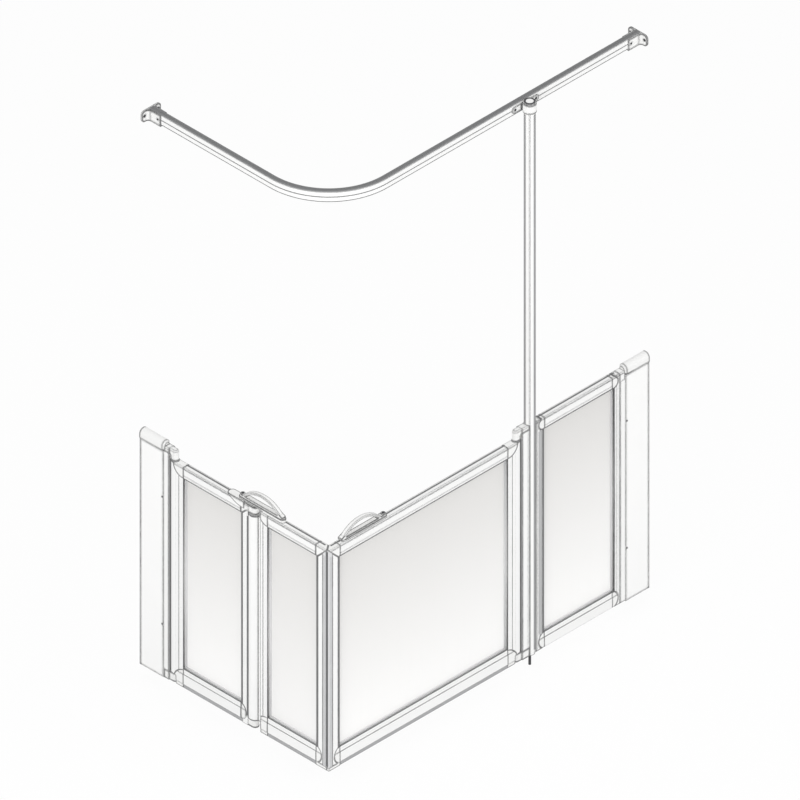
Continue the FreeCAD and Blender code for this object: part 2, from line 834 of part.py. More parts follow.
def fold_bracket_solids(opening):
    """The corner blocks of the first leaf that reach over and under the second leaf's bulb."""
    x_axis = first_leaf_length
    x_edge = opening.far
    nose_edges = [
        line(plan(x_edge, -fold_nose_radius), plan(x_axis, -fold_nose_radius)),
        arc(
            plan(x_axis, -fold_nose_radius),
            plan(x_axis + fold_nose_radius, 0),
            plan(x_axis, fold_nose_radius),
        ),
        line(plan(x_axis, fold_nose_radius), plan(x_edge, fold_nose_radius)),
        line(plan(x_edge, fold_nose_radius), plan(x_edge, -fold_nose_radius)),
    ]
    nose_plan = Part.Wire(nose_edges)
    x_horn = x_axis - math.sqrt(nest_radius**2 - half_frame**2)
    top = rail_bar(x_edge - block_reach, x_horn, opening.high, door_top)
    top = top.common(mitre_region(x_edge, 1, opening.high, door_top))
    top = top.fuse(prism(nose_plan, door_top - fold_bracket_height, door_top))
    low = rail_bar(x_edge - block_reach, x_horn, opening.low, door_bottom, step_drop)
    low = low.common(lens_region(x_edge, 1, opening.low, door_bottom))
    low = low.fuse(prism(nose_plan, sill_gap, bottom_bracket_height))
    channel = opening.channel()
    holes = pin_holes(bulb_bottom, fold_bulb_top)
    for hole in holes:
        hole.translate(ALONG * x_axis)
    return [whole(top).cut(channel).cut(holes[1]), whole(low).cut(channel).cut(holes[0])]


def build_first_leaf():
    """The leaf at the wall, which carries the pivots of the second leaf."""
    bay = first_bay
    opening = leaf_opening(hinge_stile_reach, first_leaf_length - fold_stile_reach)
    build_leaf_frame(bay, "first_leaf", opening, hinge_stile_reach, opening.far - block_reach)
    bay.add("first_leaf_hinge_stile", hinge_stile(opening))
    bay.add("first_leaf_pivot_plugs", *pivot_plugs(bulb_bottom, door_top, bulb_bore))
    bay.add("first_leaf_corner_blocks", *hinge_blocks(opening))
    bay.add("first_leaf_bottom_seal", bottom_seal(hinge_stile_reach, opening.far))

    brackets = fold_bracket_solids(opening)
    bay.add("fold_brackets", *brackets)
    stile = raised(nested_sheet(opening.far, first_leaf_length, nest_radius), sill_gap, door_top)
    chamber_start = opening.far + channel_depth + frame_wall
    chamber_end = first_leaf_length - nest_radius - frame_wall
    stile = hollowed(stile, chamber_start, chamber_end, 0, door_top + overrun)
    stile = stile.cut(mitre_region(opening.far, 1, opening.high, door_top))
    stile = stile.cut(lens_region(opening.far, 1, opening.low, door_bottom)).cut(opening.channel())
    bay.add("first_leaf_fold_stile", stile.cut(brackets[0]).cut(brackets[1]))
    pins = pivot_pins(bulb_bottom, fold_bulb_top)
    for pin in pins:
        pin.translate(ALONG * first_leaf_length)
    bay.add("fold_pivot_pins", *pins)
    bay.add("fold_keeper", fold_keeper(bay))


def fold_keeper(bay):
    """The shoe on the first leaf that the folding door's handle rests over."""
    x_high = first_leaf_length - keeper_to_fold
    x_low = x_high - keeper_length
    half_plate = half_frame + keeper_wall
    plate_plan = outline(
        bay.facing(
            [
                (x_low, half_plate, half_frame),
                (x_high, half_plate),
                (x_high, -half_frame),
                (x_low, -half_frame, half_frame),
            ]
        )
    )
    plate = prism(plate_plan, door_top, door_top + keeper_thickness)
    skirt_edges = [
        line(elevation(x_low + half_frame, door_top), elevation(x_high, door_top)),
        line(elevation(x_high, door_top), elevation(x_high, door_top - keeper_skirt)),
        arc(
            elevation(x_high, door_top - keeper_skirt),
            elevation((x_low + half_frame + x_high) / 2, door_top - keeper_skirt * keeper_belly_share),
            elevation(x_low + half_frame, door_top),
        ),
    ]
    skirt = Part.Face(Part.Wire(skirt_edges)).extrude(ACROSS * (bay.outward * keeper_wall))
    skirt.translate(ACROSS * (bay.outward * half_frame))
    return whole(plate.fuse(skirt))


def build_second_leaf():
    """The leaf at the corner, hinged on the first leaf."""
    bay = second_bay
    stile_edge = neck_reach + second_leaf_stile_width
    opening = leaf_opening(stile_edge, second_leaf_corner - second_leaf_panel_to_corner)
    build_leaf_frame(bay, "second_leaf", opening, stile_edge, opening.far - block_reach)
    bulb = sheet(hinge_outline(neck_reach, neck_thickness / 2, fold_bulb_radius), circle(0, 0, fold_bore))
    bay.add("second_leaf_hinge_bulb", raised(bulb, bulb_bottom, fold_bulb_top))
    bay.add("second_leaf_pivot_plugs", *pivot_plugs(bulb_bottom, fold_bulb_top, fold_bore))

    stile = block(neck_reach, stile_edge, half_frame, door_bottom, door_top)
    channel_back = stile_edge - channel_depth - frame_wall
    stile = hollowed(stile, neck_reach + frame_wall, channel_back, 0, door_top + overrun)
    stile = lined(stile, stile_edge - step_drop, door_bottom, door_top)
    blocks = []
    for z_panel, z_edge, step in ((opening.high, door_top, 0), (opening.low, door_bottom, step_drop)):
        region = quarter_region(stile_edge, z_panel, z_edge)
        corner = rail_bar(neck_reach, stile_edge, z_panel, z_edge, step).common(region)
        blocks.append(corner.cut(opening.channel()))
        stile = stile.cut(region)
    blocks[1] = whole(blocks[1].fuse(sill_foot(neck_reach, stile_edge)))
    bay.add("second_leaf_hinge_stile", stile.cut(opening.channel()))

    seam_outer = second_leaf_corner - seam_offset - seal_gap
    seam_inner = fold_y - half_frame - seam_lap - seal_gap
    stile_end_outer = seam_outer - second_leaf_seal_width
    stile_end_inner = seam_inner - seal_backing
    seal_tip = [(seam_outer, half_frame), (seam_inner, -half_frame)]
    bay.add("second_leaf_closing_stile", closing_stile(bay, opening, stile_end_outer, stile_end_inner))
    seal_plan = [(stile_end_outer, half_frame)] + seal_tip + [(stile_end_inner, -half_frame)]
    seal = prism(outline(bay.facing(seal_plan)), door_bottom, door_top)
    bay.add("second_leaf_magnet_seal", closing_trim(seal, opening))
    bay.add("second_leaf_corner_blocks", *blocks, *closing_blocks(bay, opening, seal_tip))
    bay.add("second_leaf_bottom_seal", bottom_seal(stile_edge, opening.far - block_reach))
    z_seat = door_top + keeper_thickness + keeper_gap
    handle_end = handle_length - fold_handle_overhang
    arch_middle = handle_end - handle_length / 2 + fold_arch_shift
    loop = handle(-fold_handle_overhang, handle_end, arch_middle, z_seat)
    foot = rounded_bar(neck_reach, handle_end, handle_pad_width, door_top, z_seat)
    bay.add("fold_handle", whole(loop.fuse(foot)))


def build_fixed_panel():
    """The fixed panel between the pole and the right wall post."""
    bay = fixed_bay
    adapter_end = pole_to_right_wall - post_width
    adapter_start = adapter_end - adapter_width
    stile_edge = adapter_start - fixed_wall_stile_width
    opening = Opening(
        fixed_pole_stile_edge,
        stile_edge,
        fixed_panel_bottom + bottom_rail_height,
        fixed_panel_top - top_rail_height,
    )
    ends = (opening.near + block_reach, opening.far - block_reach)
    top = rail(*ends, opening.high, fixed_panel_top, opening)
    bottom = rail(*ends, opening.low, fixed_panel_bottom, opening, step_drop)
    bay.add("fixed_panel_top_rail", top)
    bay.add("fixed_panel_bottom_rail", bottom)
    bay.add("fixed_panel_glazing", opening.glazing())
    bay.add("fixed_panel_gasket", opening.gasket())

    pole_stile = nested_sheet(opening.near, 0, pole_nest_radius)
    pole_stile = raised(pole_stile, fixed_panel_bottom, fixed_panel_top)
    channel_wall = channel_depth + frame_wall
    z_hollow = (fixed_panel_bottom - overrun, fixed_panel_top - frame_wall)
    pole_stile = hollowed(pole_stile, pole_nest_radius + frame_wall, opening.near - channel_wall, *z_hollow)
    pole_stile = pole_stile.common(rail_bar(0, opening.near, fixed_panel_bottom, fixed_panel_top))
    pole_stile = lined(pole_stile, opening.near - channel_wall, fixed_panel_bottom, fixed_panel_top)
    wall_stile = rail_bar(opening.far, adapter_start, fixed_panel_bottom, fixed_panel_top)
    wall_stile = hollowed(wall_stile, opening.far + channel_wall, adapter_start - frame_wall, *z_hollow)
    blocks = []
    for side, x_edge in ((-1, opening.near), (1, opening.far)):
        for z_panel, z_edge, step in (
            (opening.high, fixed_panel_top, 0),
            (opening.low, fixed_panel_bottom, step_drop),
        ):
            region = lens_region(x_edge, side, z_panel, z_edge)
            x_far = x_edge + side * block_bulge
            x_near = x_edge - side * block_reach
            bar = rail_bar(min(x_near, x_far), max(x_near, x_far), z_panel, z_edge, step)
            blocks.append(bar.common(region).cut(opening.channel()))
            pole_stile = pole_stile.cut(region)
            wall_stile = wall_stile.cut(region)
    bay.add("fixed_panel_pole_stile", pole_stile.cut(opening.channel()))
    bay.add("fixed_panel_wall_stile", wall_stile.cut(opening.channel()))
    bay.add("fixed_panel_corner_blocks", *blocks)
    x_tail = adapter_end + tail_length
    z_head = post_height - cap_skirt
    adapter = block(adapter_start, x_tail, half_frame, fixed_panel_bottom, z_head)
    adapter = adapter.cut(
        block(adapter_start + frame_wall, x_tail - frame_wall, half_frame - frame_wall, 0, z_head)
    )
    head = rail_bar(adapter_start, adapter_end - seat_clearance, z_head, fixed_panel_top)
    bay.add("wall_adapter", whole(adapter.fuse(head)))


def build_pole():
    """The fluted support pole with its cap and its floor stud."""
    bay = fixed_bay
    tube_top = pole_top - pole_cap_height
    plug_radius = pole_radius - pole_wall - seat_clearance
    bore = post(0, 0, pole_radius - pole_wall, -overrun, pole_top)
    tube = post(0, 0, pole_radius, 0, tube_top).cut(bore)
    flute = [
        (pole_radius - flute_depth, 0),
        (pole_radius + flute_depth, -flute_width),
        (pole_radius + flute_depth, flute_width),
    ]
    cutter = prism(outline(flute), -overrun, pole_top)
    for angle in flute_angles:
        tube = tube.cut(set_out(cutter, angle, Vector(0, 0, 0)))
    bay.add("support_pole", tube)
    cap = post(0, 0, pole_radius, tube_top, pole_top)
    cap = cap.makeChamfer(pole_cap_chamfer, [e for e in cap.Edges if e.BoundBox.ZMin > tube_top])
    bay.add("pole_cap", whole(cap.fuse(post(0, 0, plug_radius, tube_top - pole_plug_length, tube_top))))
    foot = post(0, 0, plug_radius, 0, foot_plug_height)
    stud = post(0, 0, stud_radius, -stud_depth, 0)
    bay.add("pole_floor_stud", whole(foot.fuse(stud)))


def rail_track():
    """The curtain rail's section: one web between a wide channel above and the gliders' track below."""
    half = rail_width / 2
    inner = half - rail_wall
    groove = half - face_groove_depth
    low = rail_top - rail_height
    web_high = rail_middle + rail_wall / 2
    web_low = rail_middle - rail_wall / 2
    right = [
        (top_slot / 2, rail_top - rail_wall),
        (top_slot / 2, rail_top),
        (half - rail_chamfer, rail_top),
        (half, rail_top - rail_chamfer),
        (half, rail_middle + face_groove / 2),
        (groove, rail_middle),
        (half, rail_middle - face_groove / 2),
        (half, low + rail_chamfer),
        (half - rail_chamfer, low),
        (glide_slot / 2, low),
        (glide_slot / 2, low + rail_wall),
        (inner, low + rail_wall),
        (inner, web_low),
    ]
    left = [(-y, z) for y, z in reversed(right)]
    channel = [
        (-inner, web_high),
        (inner, web_high),
        (inner, rail_top - rail_wall),
    ]
    return sheet(outline(right + left + [(-inner, rail_top - rail_wall)] + channel, section))


def build_curtain_rail():
    """The L-shaped rail, its two wall brackets and the clamp that hangs it on the pole."""
    x_left = rail_inset - pole_to_left_side
    bend_x = x_left + rail_bend_radius
    bend_y = rail_inset + rail_bend_radius
    track = rail_track()
    track.translate(Vector(bend_x, rail_inset, 0))
    long_run = track.extrude(ALONG * (pole_to_right_wall - flange_thickness - bend_x))
    bend = track.revolve(Vector(bend_x, bend_y, 0), UP, -90)
    turned = track.copy()
    turned.rotate(Vector(bend_x, bend_y, 0), UP, -90)
    short_run = turned.extrude(ACROSS * (pole_to_left_wall - flange_thickness - bend_y))
    fixed_bay.add("curtain_rail", whole(long_run.fuse(bend).fuse(short_run)))

    left_at = Bay(-90, x_left, pole_to_left_wall, -1)
    right_at = Bay(180, pole_to_right_wall, rail_inset, 1)
    left_at.add("left_rail_bracket", rail_bracket(left_at))
    right_at.add("right_rail_bracket", rail_bracket(right_at))
    fixed_bay.add("pole_rail_clamp", pole_clamp())


def rail_bracket(bay):
    """A wall bracket: an eared flange that sweeps into an open saddle round the rail's end."""
    half_room = rail_width / 2 + seat_clearance
    half_saddle = half_room + saddle_wall
    half_flange = flange_length / 2
    z_floor = rail_top - rail_height - seat_clearance
    z_low = z_floor - saddle_wall
    near = [
        (0, -half_flange),
        (flange_thickness, -half_flange),
        (flange_thickness, -half_saddle, flare_radius),
        (saddle_length, -half_saddle),
    ]
    far = [(corner[0], -corner[1]) + tuple(corner[2:]) for corner in reversed(near)]
    shape = prism(outline(near + far), z_low, rail_top)
    front = [
        (-half_flange, z_low, flange_radius),
        (half_flange, z_low, flange_radius),
        (half_flange, rail_top, flange_radius),
        (-half_flange, rail_top, flange_radius),
    ]
    shape = shape.common(run(sheet(outline(front, section)), 0, saddle_length))
    room = block(flange_thickness, saddle_length + overrun, half_room, z_floor, rail_top + overrun)
    shape = shape.cut(room)
    for side in (-1, 1):
        at = Vector(-overrun, side * flange_hole_spacing / 2, rail_middle)
        shape = shape.cut(Part.makeCylinder(flange_hole_radius, saddle_length, at, ALONG))
    grub_at = Vector(saddle_length - grub_inset, 0, rail_middle)
    grub = Part.makeCylinder(grub_hole_radius, half_saddle + overrun, grub_at, ACROSS * bay.outward)
    return whole(shape.cut(grub))


def pole_clamp():
    """The saddle on the pole with a wing each way that is screwed to the rail's outer face."""
    y_face = rail_inset - rail_width / 2
    z_low = rail_middle - clamp_height / 2
    z_high = rail_middle + clamp_height / 2
    half_wing = wing_height / 2
    wing = outline(
        [
            (-clamp_length / 2, rail_middle - half_wing, wing_radius),
            (clamp_length / 2, rail_middle - half_wing, wing_radius),
            (clamp_length / 2, rail_middle + half_wing, wing_radius),
            (-clamp_length / 2, rail_middle + half_wing, wing_radius),
        ],
        elevation,
    )
    wing_thickness = y_face - pole_nest_radius
    wings = Part.Face(wing).extrude(ACROSS * wing_thickness)
    wings.translate(ACROSS * pole_nest_radius)
    collar = post(0, 0, pole_nest_radius + clamp_collar_wall, z_low, z_high)
    beyond = Vector(-clamp_length, y_face, z_low - overrun)
    collar = collar.cut(Part.makeBox(2 * clamp_length, clamp_length, 2 * clamp_height, beyond))
    shape = wings.fuse(collar).cut(post(0, 0, pole_nest_radius, z_low - overrun, z_high + overrun))
    for side in (-1, 1):
        at = Vector(side * clamp_hole_spacing / 2, 0, rail_middle)
        shape = shape.cut(Part.makeCylinder(clamp_hole_radius, rail_inset, at, ACROSS))
    return whole(shape)


build_wall_posts()
build_jambs()
build_pole()
build_fixed_panel()
build_curtain_rail()
build_door()
build_first_leaf()
build_second_leaf()

os.makedirs("parts", exist_ok=True)
for name, solids in nodes.items():
    shape = solids[0] if len(solids) == 1 else Part.makeCompound(solids)
    shape.exportStep("parts/" + name + ".step")
print(len(nodes), "nodes,", sum(len(solids) for solids in nodes.values()), "solids")
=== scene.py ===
"""Dressed model of a half-height hinged shower screen: finishes, fasteners, seals, light and camera."""

import json
import logging
import math
from collections.abc import Iterable, Sequence
from dataclasses import dataclass, field, replace
from enum import Enum
from functools import cache
from typing import Any, ClassVar

import bmesh
import bpy
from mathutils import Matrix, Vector


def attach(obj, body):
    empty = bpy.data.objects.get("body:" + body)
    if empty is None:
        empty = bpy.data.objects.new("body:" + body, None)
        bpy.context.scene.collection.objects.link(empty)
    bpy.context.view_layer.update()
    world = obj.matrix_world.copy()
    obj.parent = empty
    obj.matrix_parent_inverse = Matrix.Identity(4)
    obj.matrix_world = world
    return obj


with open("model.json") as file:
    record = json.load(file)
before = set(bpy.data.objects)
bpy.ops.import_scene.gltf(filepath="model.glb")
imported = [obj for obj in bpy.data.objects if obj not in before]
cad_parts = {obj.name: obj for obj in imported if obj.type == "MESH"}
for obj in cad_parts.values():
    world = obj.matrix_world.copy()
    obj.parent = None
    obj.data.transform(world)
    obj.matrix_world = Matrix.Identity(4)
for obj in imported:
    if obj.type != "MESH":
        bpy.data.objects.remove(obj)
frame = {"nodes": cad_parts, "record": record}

LOG = logging.getLogger("shower_screen")
MM = 0.001
Plan = tuple[float, float]
Point = tuple[float, float, float]
Path = list[Point]
Spot = tuple[Point, Point]
Socket = bpy.types.NodeSocket
Tree = bpy.types.NodeTree

# Types of sockets and trees
FLOAT = "NodeSocketFloat"
SHAPE = "NodeSocketGeometry"
PAINT = "NodeSocketMaterial"
SHADER_TREE = "ShaderNodeTree"
SHAPE_TREE = "GeometryNodeTree"
INPUT_TYPES = {float: FLOAT, bool: "NodeSocketBool", int: "NodeSocketInt", tuple: "NodeSocketVector"}
OUTPUT_TYPES = {SHADER_TREE: FLOAT, SHAPE_TREE: SHAPE}

# Places in plan and sizes in millimetres, directions, and the white that sub-assemblies share
DOOR_AXIS: Plan = (-63.0, 0.0)
LEFT_X = -891.0
LEFT_AXIS: Plan = (LEFT_X, 679.0)
FOLD_AXIS: Plan = (LEFT_X, 326.0)
POLE_AXIS: Plan = (0.0, 0.0)
TO_LEFT: Plan = (-1.0, 0.0)
TO_RIGHT: Plan = (1.0, 0.0)
TO_FRONT: Plan = (0.0, -1.0)
TO_BACK: Plan = (0.0, 1.0)
UPWARDS: Point = (0.0, 0.0, 1.0)
HALF_FRAME = 14.0
LEAF_TOP = 846.0
SIDES = (-1, 1)
WHITE = (1.0, 1.0, 1.0, 1.0)


class Slot(Enum):
    """The finishes of the screen, by the name of their material slot."""

    FRAME = "white_frame"
    MOULDING = "white_moulding"
    PANEL = "frosted_panel"
    GASKET = "grey_gasket"
    SEAL = "grey_seal"
    NYLON = "grey_nylon"
    STEEL = "steel"
    DARK_STEEL = "dark_steel"


class Graph:
    """Adds the nodes of one tree and joins their sockets."""

    def __init__(self, tree: Tree) -> None:
        """Starts on an empty shader or geometry tree."""
        self.tree = tree

    @classmethod
    def afresh(cls, owner: bpy.types.Material | bpy.types.World) -> "Graph":
        """Starts on the emptied tree of a material or world.

        Args:
            owner: The material or world.

        Returns:
            Its graph.
        """
        owner.use_nodes = True
        owner.node_tree.nodes.clear()
        return cls(owner.node_tree)

    @classmethod
    def group(cls, name: str, kind: str, inputs: dict[str, Any], *outputs: str) -> tuple["Graph", Any]:
        """Starts a node group with named inputs and outputs.

        Args:
            name: The group's name.
            kind: The type of its tree.
            inputs: The inputs' default values by name, or a socket type where there is no default.
            *outputs: The outputs' names.

        Returns:
            The group's graph, and the sockets that give its inputs.
        """
        graph = cls(bpy.data.node_groups.new(name, kind))
        face = graph.tree.interface
        for title, value in inputs.items():
            bare = isinstance(value, str)
            socket_type = value if bare else INPUT_TYPES[type(value)]
            socket = face.new_socket(title, in_out="INPUT", socket_type=socket_type)
            if not bare:
                socket.default_value = value
        for title in outputs:
            face.new_socket(title, in_out="OUTPUT", socket_type=OUTPUT_TYPES[kind])
        return graph, graph.add("NodeGroupInput").outputs

    def add(self, kind: str, inputs: dict[Any, Any] | None = None, **settings: Any) -> bpy.types.Node:
        """Adds a node, sets its options and feeds its inputs.

        Args:
            kind: The node's type name.
            inputs: Values or sockets by the input's name or number.
            **settings: Options of the node itself.

        Returns:
            The new node.
        """
        node = self.tree.nodes.new(kind)
        for name, value in settings.items():
            setattr(node, name, value)
        for key, value in (inputs or {}).items():
            if isinstance(value, Socket):
                self.tree.links.new(value, node.inputs[key])
            else:
                node.inputs[key].default_value = value
        return node

    def math(self, operation: str, first: Any, second: Any = 0.0) -> Socket:
        """Joins two numbers, or the sockets that give them, with a math node."""
        return self.add("ShaderNodeMath", {0: first, 1: second}, operation=operation).outputs[0]

    def remap(self, value: Socket, low: Any, high: Any, first: float = 0.0, last: float = 1.0) -> Socket:
        """Maps a value evenly, so that low becomes first and high last, and keeps within these."""
        inputs = {"Value": value, "From Min": low, "From Max": high, "To Min": first, "To Max": last}
        return self.add("ShaderNodeMapRange", inputs).outputs[0]

    def mix(self, share: Socket, first: Any, second: Any) -> Socket:
        """Mixes two colours, or the sockets that give them, by the second one's share."""
        return self.add("ShaderNodeMix", {0: share, 6: first, 7: second}, data_type="RGBA").outputs[2]

    def use(self, group: Tree, inputs: dict[str, float]) -> Any:
        """Adds a shader group with the given inputs and returns its outputs."""
        return self.add("ShaderNodeGroup", inputs, node_tree=group).outputs

    def place(self) -> Socket:
        """The place on the piece, in its Object coordinates."""
        return self.add("ShaderNodeTexCoord").outputs["Object"]

    def height(self) -> Socket:
        """The height above the floor on the piece."""
        return self.add("ShaderNodeSeparateXYZ", {0: self.place()}).outputs["Z"]


class SurfaceGroups:
    """The shader node groups that the finishes share."""

    run_stretch: ClassVar[Point] = (70.0, 70.0, 3.5)
    run_band: ClassVar[Plan] = (0.52, 0.78)
    spot_scale: ClassVar[float] = 85.0
    spot_band: ClassVar[Plan] = (0.06, 0.16)
    spot_share: ClassVar[float] = 0.6
    share_on_high: ClassVar[float] = 0.15
    bend_band: ClassVar[Plan] = (0.997, 0.955)
    patch_scale: ClassVar[float] = 14.0
    patch_band: ClassVar[Plan] = (0.25, 0.6)
    least_edge_shade: ClassVar[float] = 0.8

    @classmethod
    @cache
    def coat_grain(cls) -> Tree:
        """Fine orange-peel grain and a slow change of tone.

        Returns:
            A group with the outputs Height and Tone.
        """
        scales = {"Grain Scale": 900.0, "Tone Scale": 9.0}
        graph, given = Graph.group("coat_grain", SHADER_TREE, scales, "Height", "Tone")
        place = graph.place()
        fine, broad = given["Grain Scale"], given["Tone Scale"]
        grain = graph.add("ShaderNodeTexNoise", {"Vector": place, "Scale": fine, "Detail": 2.0})
        tone = graph.add("ShaderNodeTexNoise", {"Vector": place, "Scale": broad, "Detail": 4.0})
        graph.add("NodeGroupOutput", {"Height": grain.outputs[0], "Tone": tone.outputs[0]})
        return graph.tree

    @classmethod
    @cache
    def water_marks(cls) -> Tree:
        """Dried runs and spots of hard water, denser towards the floor.

        Returns:
            A group with the output Mask.
        """
        graph, given = Graph.group("water_marks", SHADER_TREE, {"Reach": 0.9, "Amount": 0.5}, "Mask")
        place = graph.place()
        near_floor = graph.remap(graph.height(), 0.0, given["Reach"], first=1.0, last=cls.share_on_high)
        drawn_out = graph.add("ShaderNodeMapping", {"Vector": place, "Scale": cls.run_stretch})
        runs = graph.add("ShaderNodeTexNoise", {"Vector": drawn_out.outputs[0], "Scale": 1.0, "Detail": 5.0})
        run_mask = graph.remap(runs.outputs[0], *cls.run_band)
        spots = graph.add("ShaderNodeTexVoronoi", {"Vector": place, "Scale": cls.spot_scale})
        spot_mask = graph.remap(spots.outputs["Distance"], *cls.spot_band, first=1.0, last=0.0)
        spread = graph.math("MAXIMUM", run_mask, graph.math("MULTIPLY", spot_mask, cls.spot_share))
        faded = graph.math("MULTIPLY", spread, near_floor)
        graph.add("NodeGroupOutput", {"Mask": graph.math("MULTIPLY", faded, given["Amount"])})
        return graph.tree

    @classmethod
    @cache
    def edge_wear_and_shade(cls) -> Tree:
        """Painted dark shade along every edge and crease, broken into patches like rubbed wear, found by
        easing the surface's own normal.

        Returns:
            A group with the output Mask.
        """
        graph, given = Graph.group("edge_wear_and_shade", SHADER_TREE, {"Reach": 0.002, "Amount": 0.6}, "Mask")
        soft = graph.add("ShaderNodeBevel", {"Radius": given["Reach"]}, samples=8)
        flat = graph.add("ShaderNodeNewGeometry").outputs["True Normal"]
        turn = graph.add("ShaderNodeVectorMath", {0: soft.outputs[0], 1: flat}, operation="DOT_PRODUCT")
        bend = graph.remap(turn.outputs["Value"], *cls.bend_band)
        spread = {"Vector": graph.place(), "Scale": cls.patch_scale, "Detail": 3.0}
        patches = graph.add("ShaderNodeTexNoise", spread)
        broken = graph.remap(patches.outputs[0], *cls.patch_band, first=cls.least_edge_shade)
        shaded_edges = graph.math("MULTIPLY", bend, broken)
        graph.add("NodeGroupOutput", {"Mask": graph.math("MULTIPLY", shaded_edges, given["Amount"])})
        return graph.tree

    @classmethod
    @cache
    def height_fade(cls) -> Tree:
        """An even change from a low to a high place above the floor.

        Returns:
            A group with the output Fade, 0 at the low height and 1 at the high one.
        """
        graph, given = Graph.group("height_fade", SHADER_TREE, {"Low": 0.0, "High": 1.0}, "Fade")
        fade = graph.remap(graph.height(), given["Low"], given["High"])
        graph.add("NodeGroupOutput", {"Fade": fade})
        return graph.tree


@dataclass(frozen=True)
class Finish:
    """A surface finish: a colour that drifts a little, a grain, dried water marks, and painted dark shade
    along its edges and creases, broken up like wear.
    """

    name: str
    color: Point
    roughness: float
    metallic: float = 0.0
    coat: float = 0.0
    drift: float = 0.03
    rough_drift: float = 0.06
    grain_scale: float = 900.0
    grain_depth: float = 0.15
    grain_distance: float = 0.0004
    marks: float = 0.25
    mark_color: Point = (0.8, 0.8, 0.79)
    mark_share: float = 0.3
    mark_roughness: float = 0.25
    # The near-black edge colour is painted shade along edges and creases, broken into patches like wear; the
    # reach sets how wide it spreads.
    wear_and_edge_shade: float = 0.0
    edge_shade_reach: float = 0.0075
    edge_shade_color: Point = (0.05, 0.051, 0.053)

    def base_color(self, graph: Graph, tone: Socket) -> Socket:
        """Mixes the colour with a slightly darker one, by the slow tone pattern."""
        dark = tuple(part * (1.0 - self.drift) for part in self.color)
        return graph.mix(tone, (*dark, 1.0), (*self.color, 1.0))

    def material(self) -> bpy.types.Material:
        """Builds the material once and returns it.

        Returns:
            The finished material.
        """
        known = bpy.data.materials.get("finish_" + self.name)
        if known:
            return known
        made = bpy.data.materials.new("finish_" + self.name)
        graph = Graph.afresh(made)
        grain = graph.use(SurfaceGroups.coat_grain(), {"Grain Scale": self.grain_scale})
        tone = grain["Tone"]
        mask = graph.use(SurfaceGroups.water_marks(), {"Amount": self.marks})["Mask"]
        color = self.base_color(graph, tone)
        color = graph.mix(graph.math("MULTIPLY", mask, self.mark_share), color, (*self.mark_color, 1.0))
        # Darkens the colour along edges and creases: painted edge shade, broken up like wear.
        if self.wear_and_edge_shade > 0.0:
            edges = graph.use(SurfaceGroups.edge_wear_and_shade(), {"Reach": self.edge_shade_reach, "Amount": self.wear_and_edge_shade})
            color = graph.mix(edges["Mask"], color, (*self.edge_shade_color, 1.0))
        lowest = self.roughness - self.rough_drift / 2
        rough = graph.math("ADD", lowest, graph.math("MULTIPLY", tone, self.rough_drift))
        rough = graph.math("ADD", rough, graph.math("MULTIPLY", mask, self.mark_roughness))
        bump = graph.add(
            "ShaderNodeBump",
            {"Height": grain["Height"], "Strength": self.grain_depth, "Distance": self.grain_distance},
        )
        shader = graph.add(
            "ShaderNodeBsdfPrincipled",
            {
                "Base Color": color,
                "Roughness": rough,
                "Metallic": self.metallic,
                "Coat Weight": self.coat,
                "Normal": bump.outputs[0],
            },
        )
        graph.add("ShaderNodeOutputMaterial", {"Surface": shader.outputs[0]})
        return made


@dataclass(frozen=True)
class PanelFinish(Finish):
    """Frosted glazing with painted shade: greyest at its top edge and paling towards the floor."""

    shaded_top_color: Point = (0.685, 0.675, 0.66)
    fade_low: float = 0.11
    fade_high: float = 0.86

    def base_color(self, graph: Graph, tone: Socket) -> Socket:
        """Fades the colour with height towards the painted shade at the top, and leaves the tone pattern out.
        """
        fade = graph.use(SurfaceGroups.height_fade(), {"Low": self.fade_low, "High": self.fade_high})
        return graph.mix(fade["Fade"], (*self.color, 1.0), (*self.shaded_top_color, 1.0))


FINISHES: dict[Slot, Finish] = {
    Slot.FRAME: Finish("powder_coat", (0.885, 0.885, 0.88), 0.36, coat=0.08, wear_and_edge_shade=0.95),
    Slot.MOULDING: Finish(
        "moulded_white",
        (0.87, 0.87, 0.862),
        0.44,
        grain_scale=1400.0,
        grain_depth=0.2,
        wear_and_edge_shade=0.95,
        edge_shade_reach=0.008,
    ),
    # The panel's grey towards its top edge is painted shade.
    Slot.PANEL: PanelFinish("frosted_panel", (0.94, 0.936, 0.928), 0.5, grain_scale=420.0, marks=0.35),
    Slot.GASKET: Finish("pale_gasket", (0.8, 0.802, 0.805), 0.62, drift=0.12, grain_scale=1600.0, marks=0.2),
    Slot.SEAL: Finish(
        "soft_seal",
        (0.7, 0.702, 0.71),
        0.5,
        drift=0.06,
        grain_scale=1200.0,
        marks=0.3,
        wear_and_edge_shade=0.35,
        edge_shade_reach=0.004,
    ),
    Slot.NYLON: Finish("grey_nylon", (0.42, 0.42, 0.42), 0.5, drift=0.08),
    Slot.STEEL: Finish("turned_steel", (0.5, 0.5, 0.51), 0.28, metallic=1.0, drift=0.08, marks=0.1),
    Slot.DARK_STEEL: Finish("black_steel", (0.05, 0.05, 0.055), 0.4, metallic=0.6, drift=0.15, marks=0.1),
}
DARK_INSERT = Finish("dark_insert", (0.15, 0.152, 0.155), 0.55, drift=0.1, grain_scale=1600.0, marks=0.15)
# The groove grey is painted shade in the hinge grooves and in the pole's flutes.
GROOVE_SHADE_GREY = replace(DARK_INSERT, name="groove_shade_grey", color=(0.3, 0.302, 0.305))
STRIP_GREY = replace(DARK_INSERT, name="strip_grey", color=(0.5, 0.503, 0.508))
# A lighter copy of the powder coat for the wall posts, which is painted light, with wider painted edge shade.
LIT_POST_COAT = replace(FINISHES[Slot.FRAME], name="lit_post_coat", color=(0.93, 0.93, 0.925), edge_shade_reach=0.013)
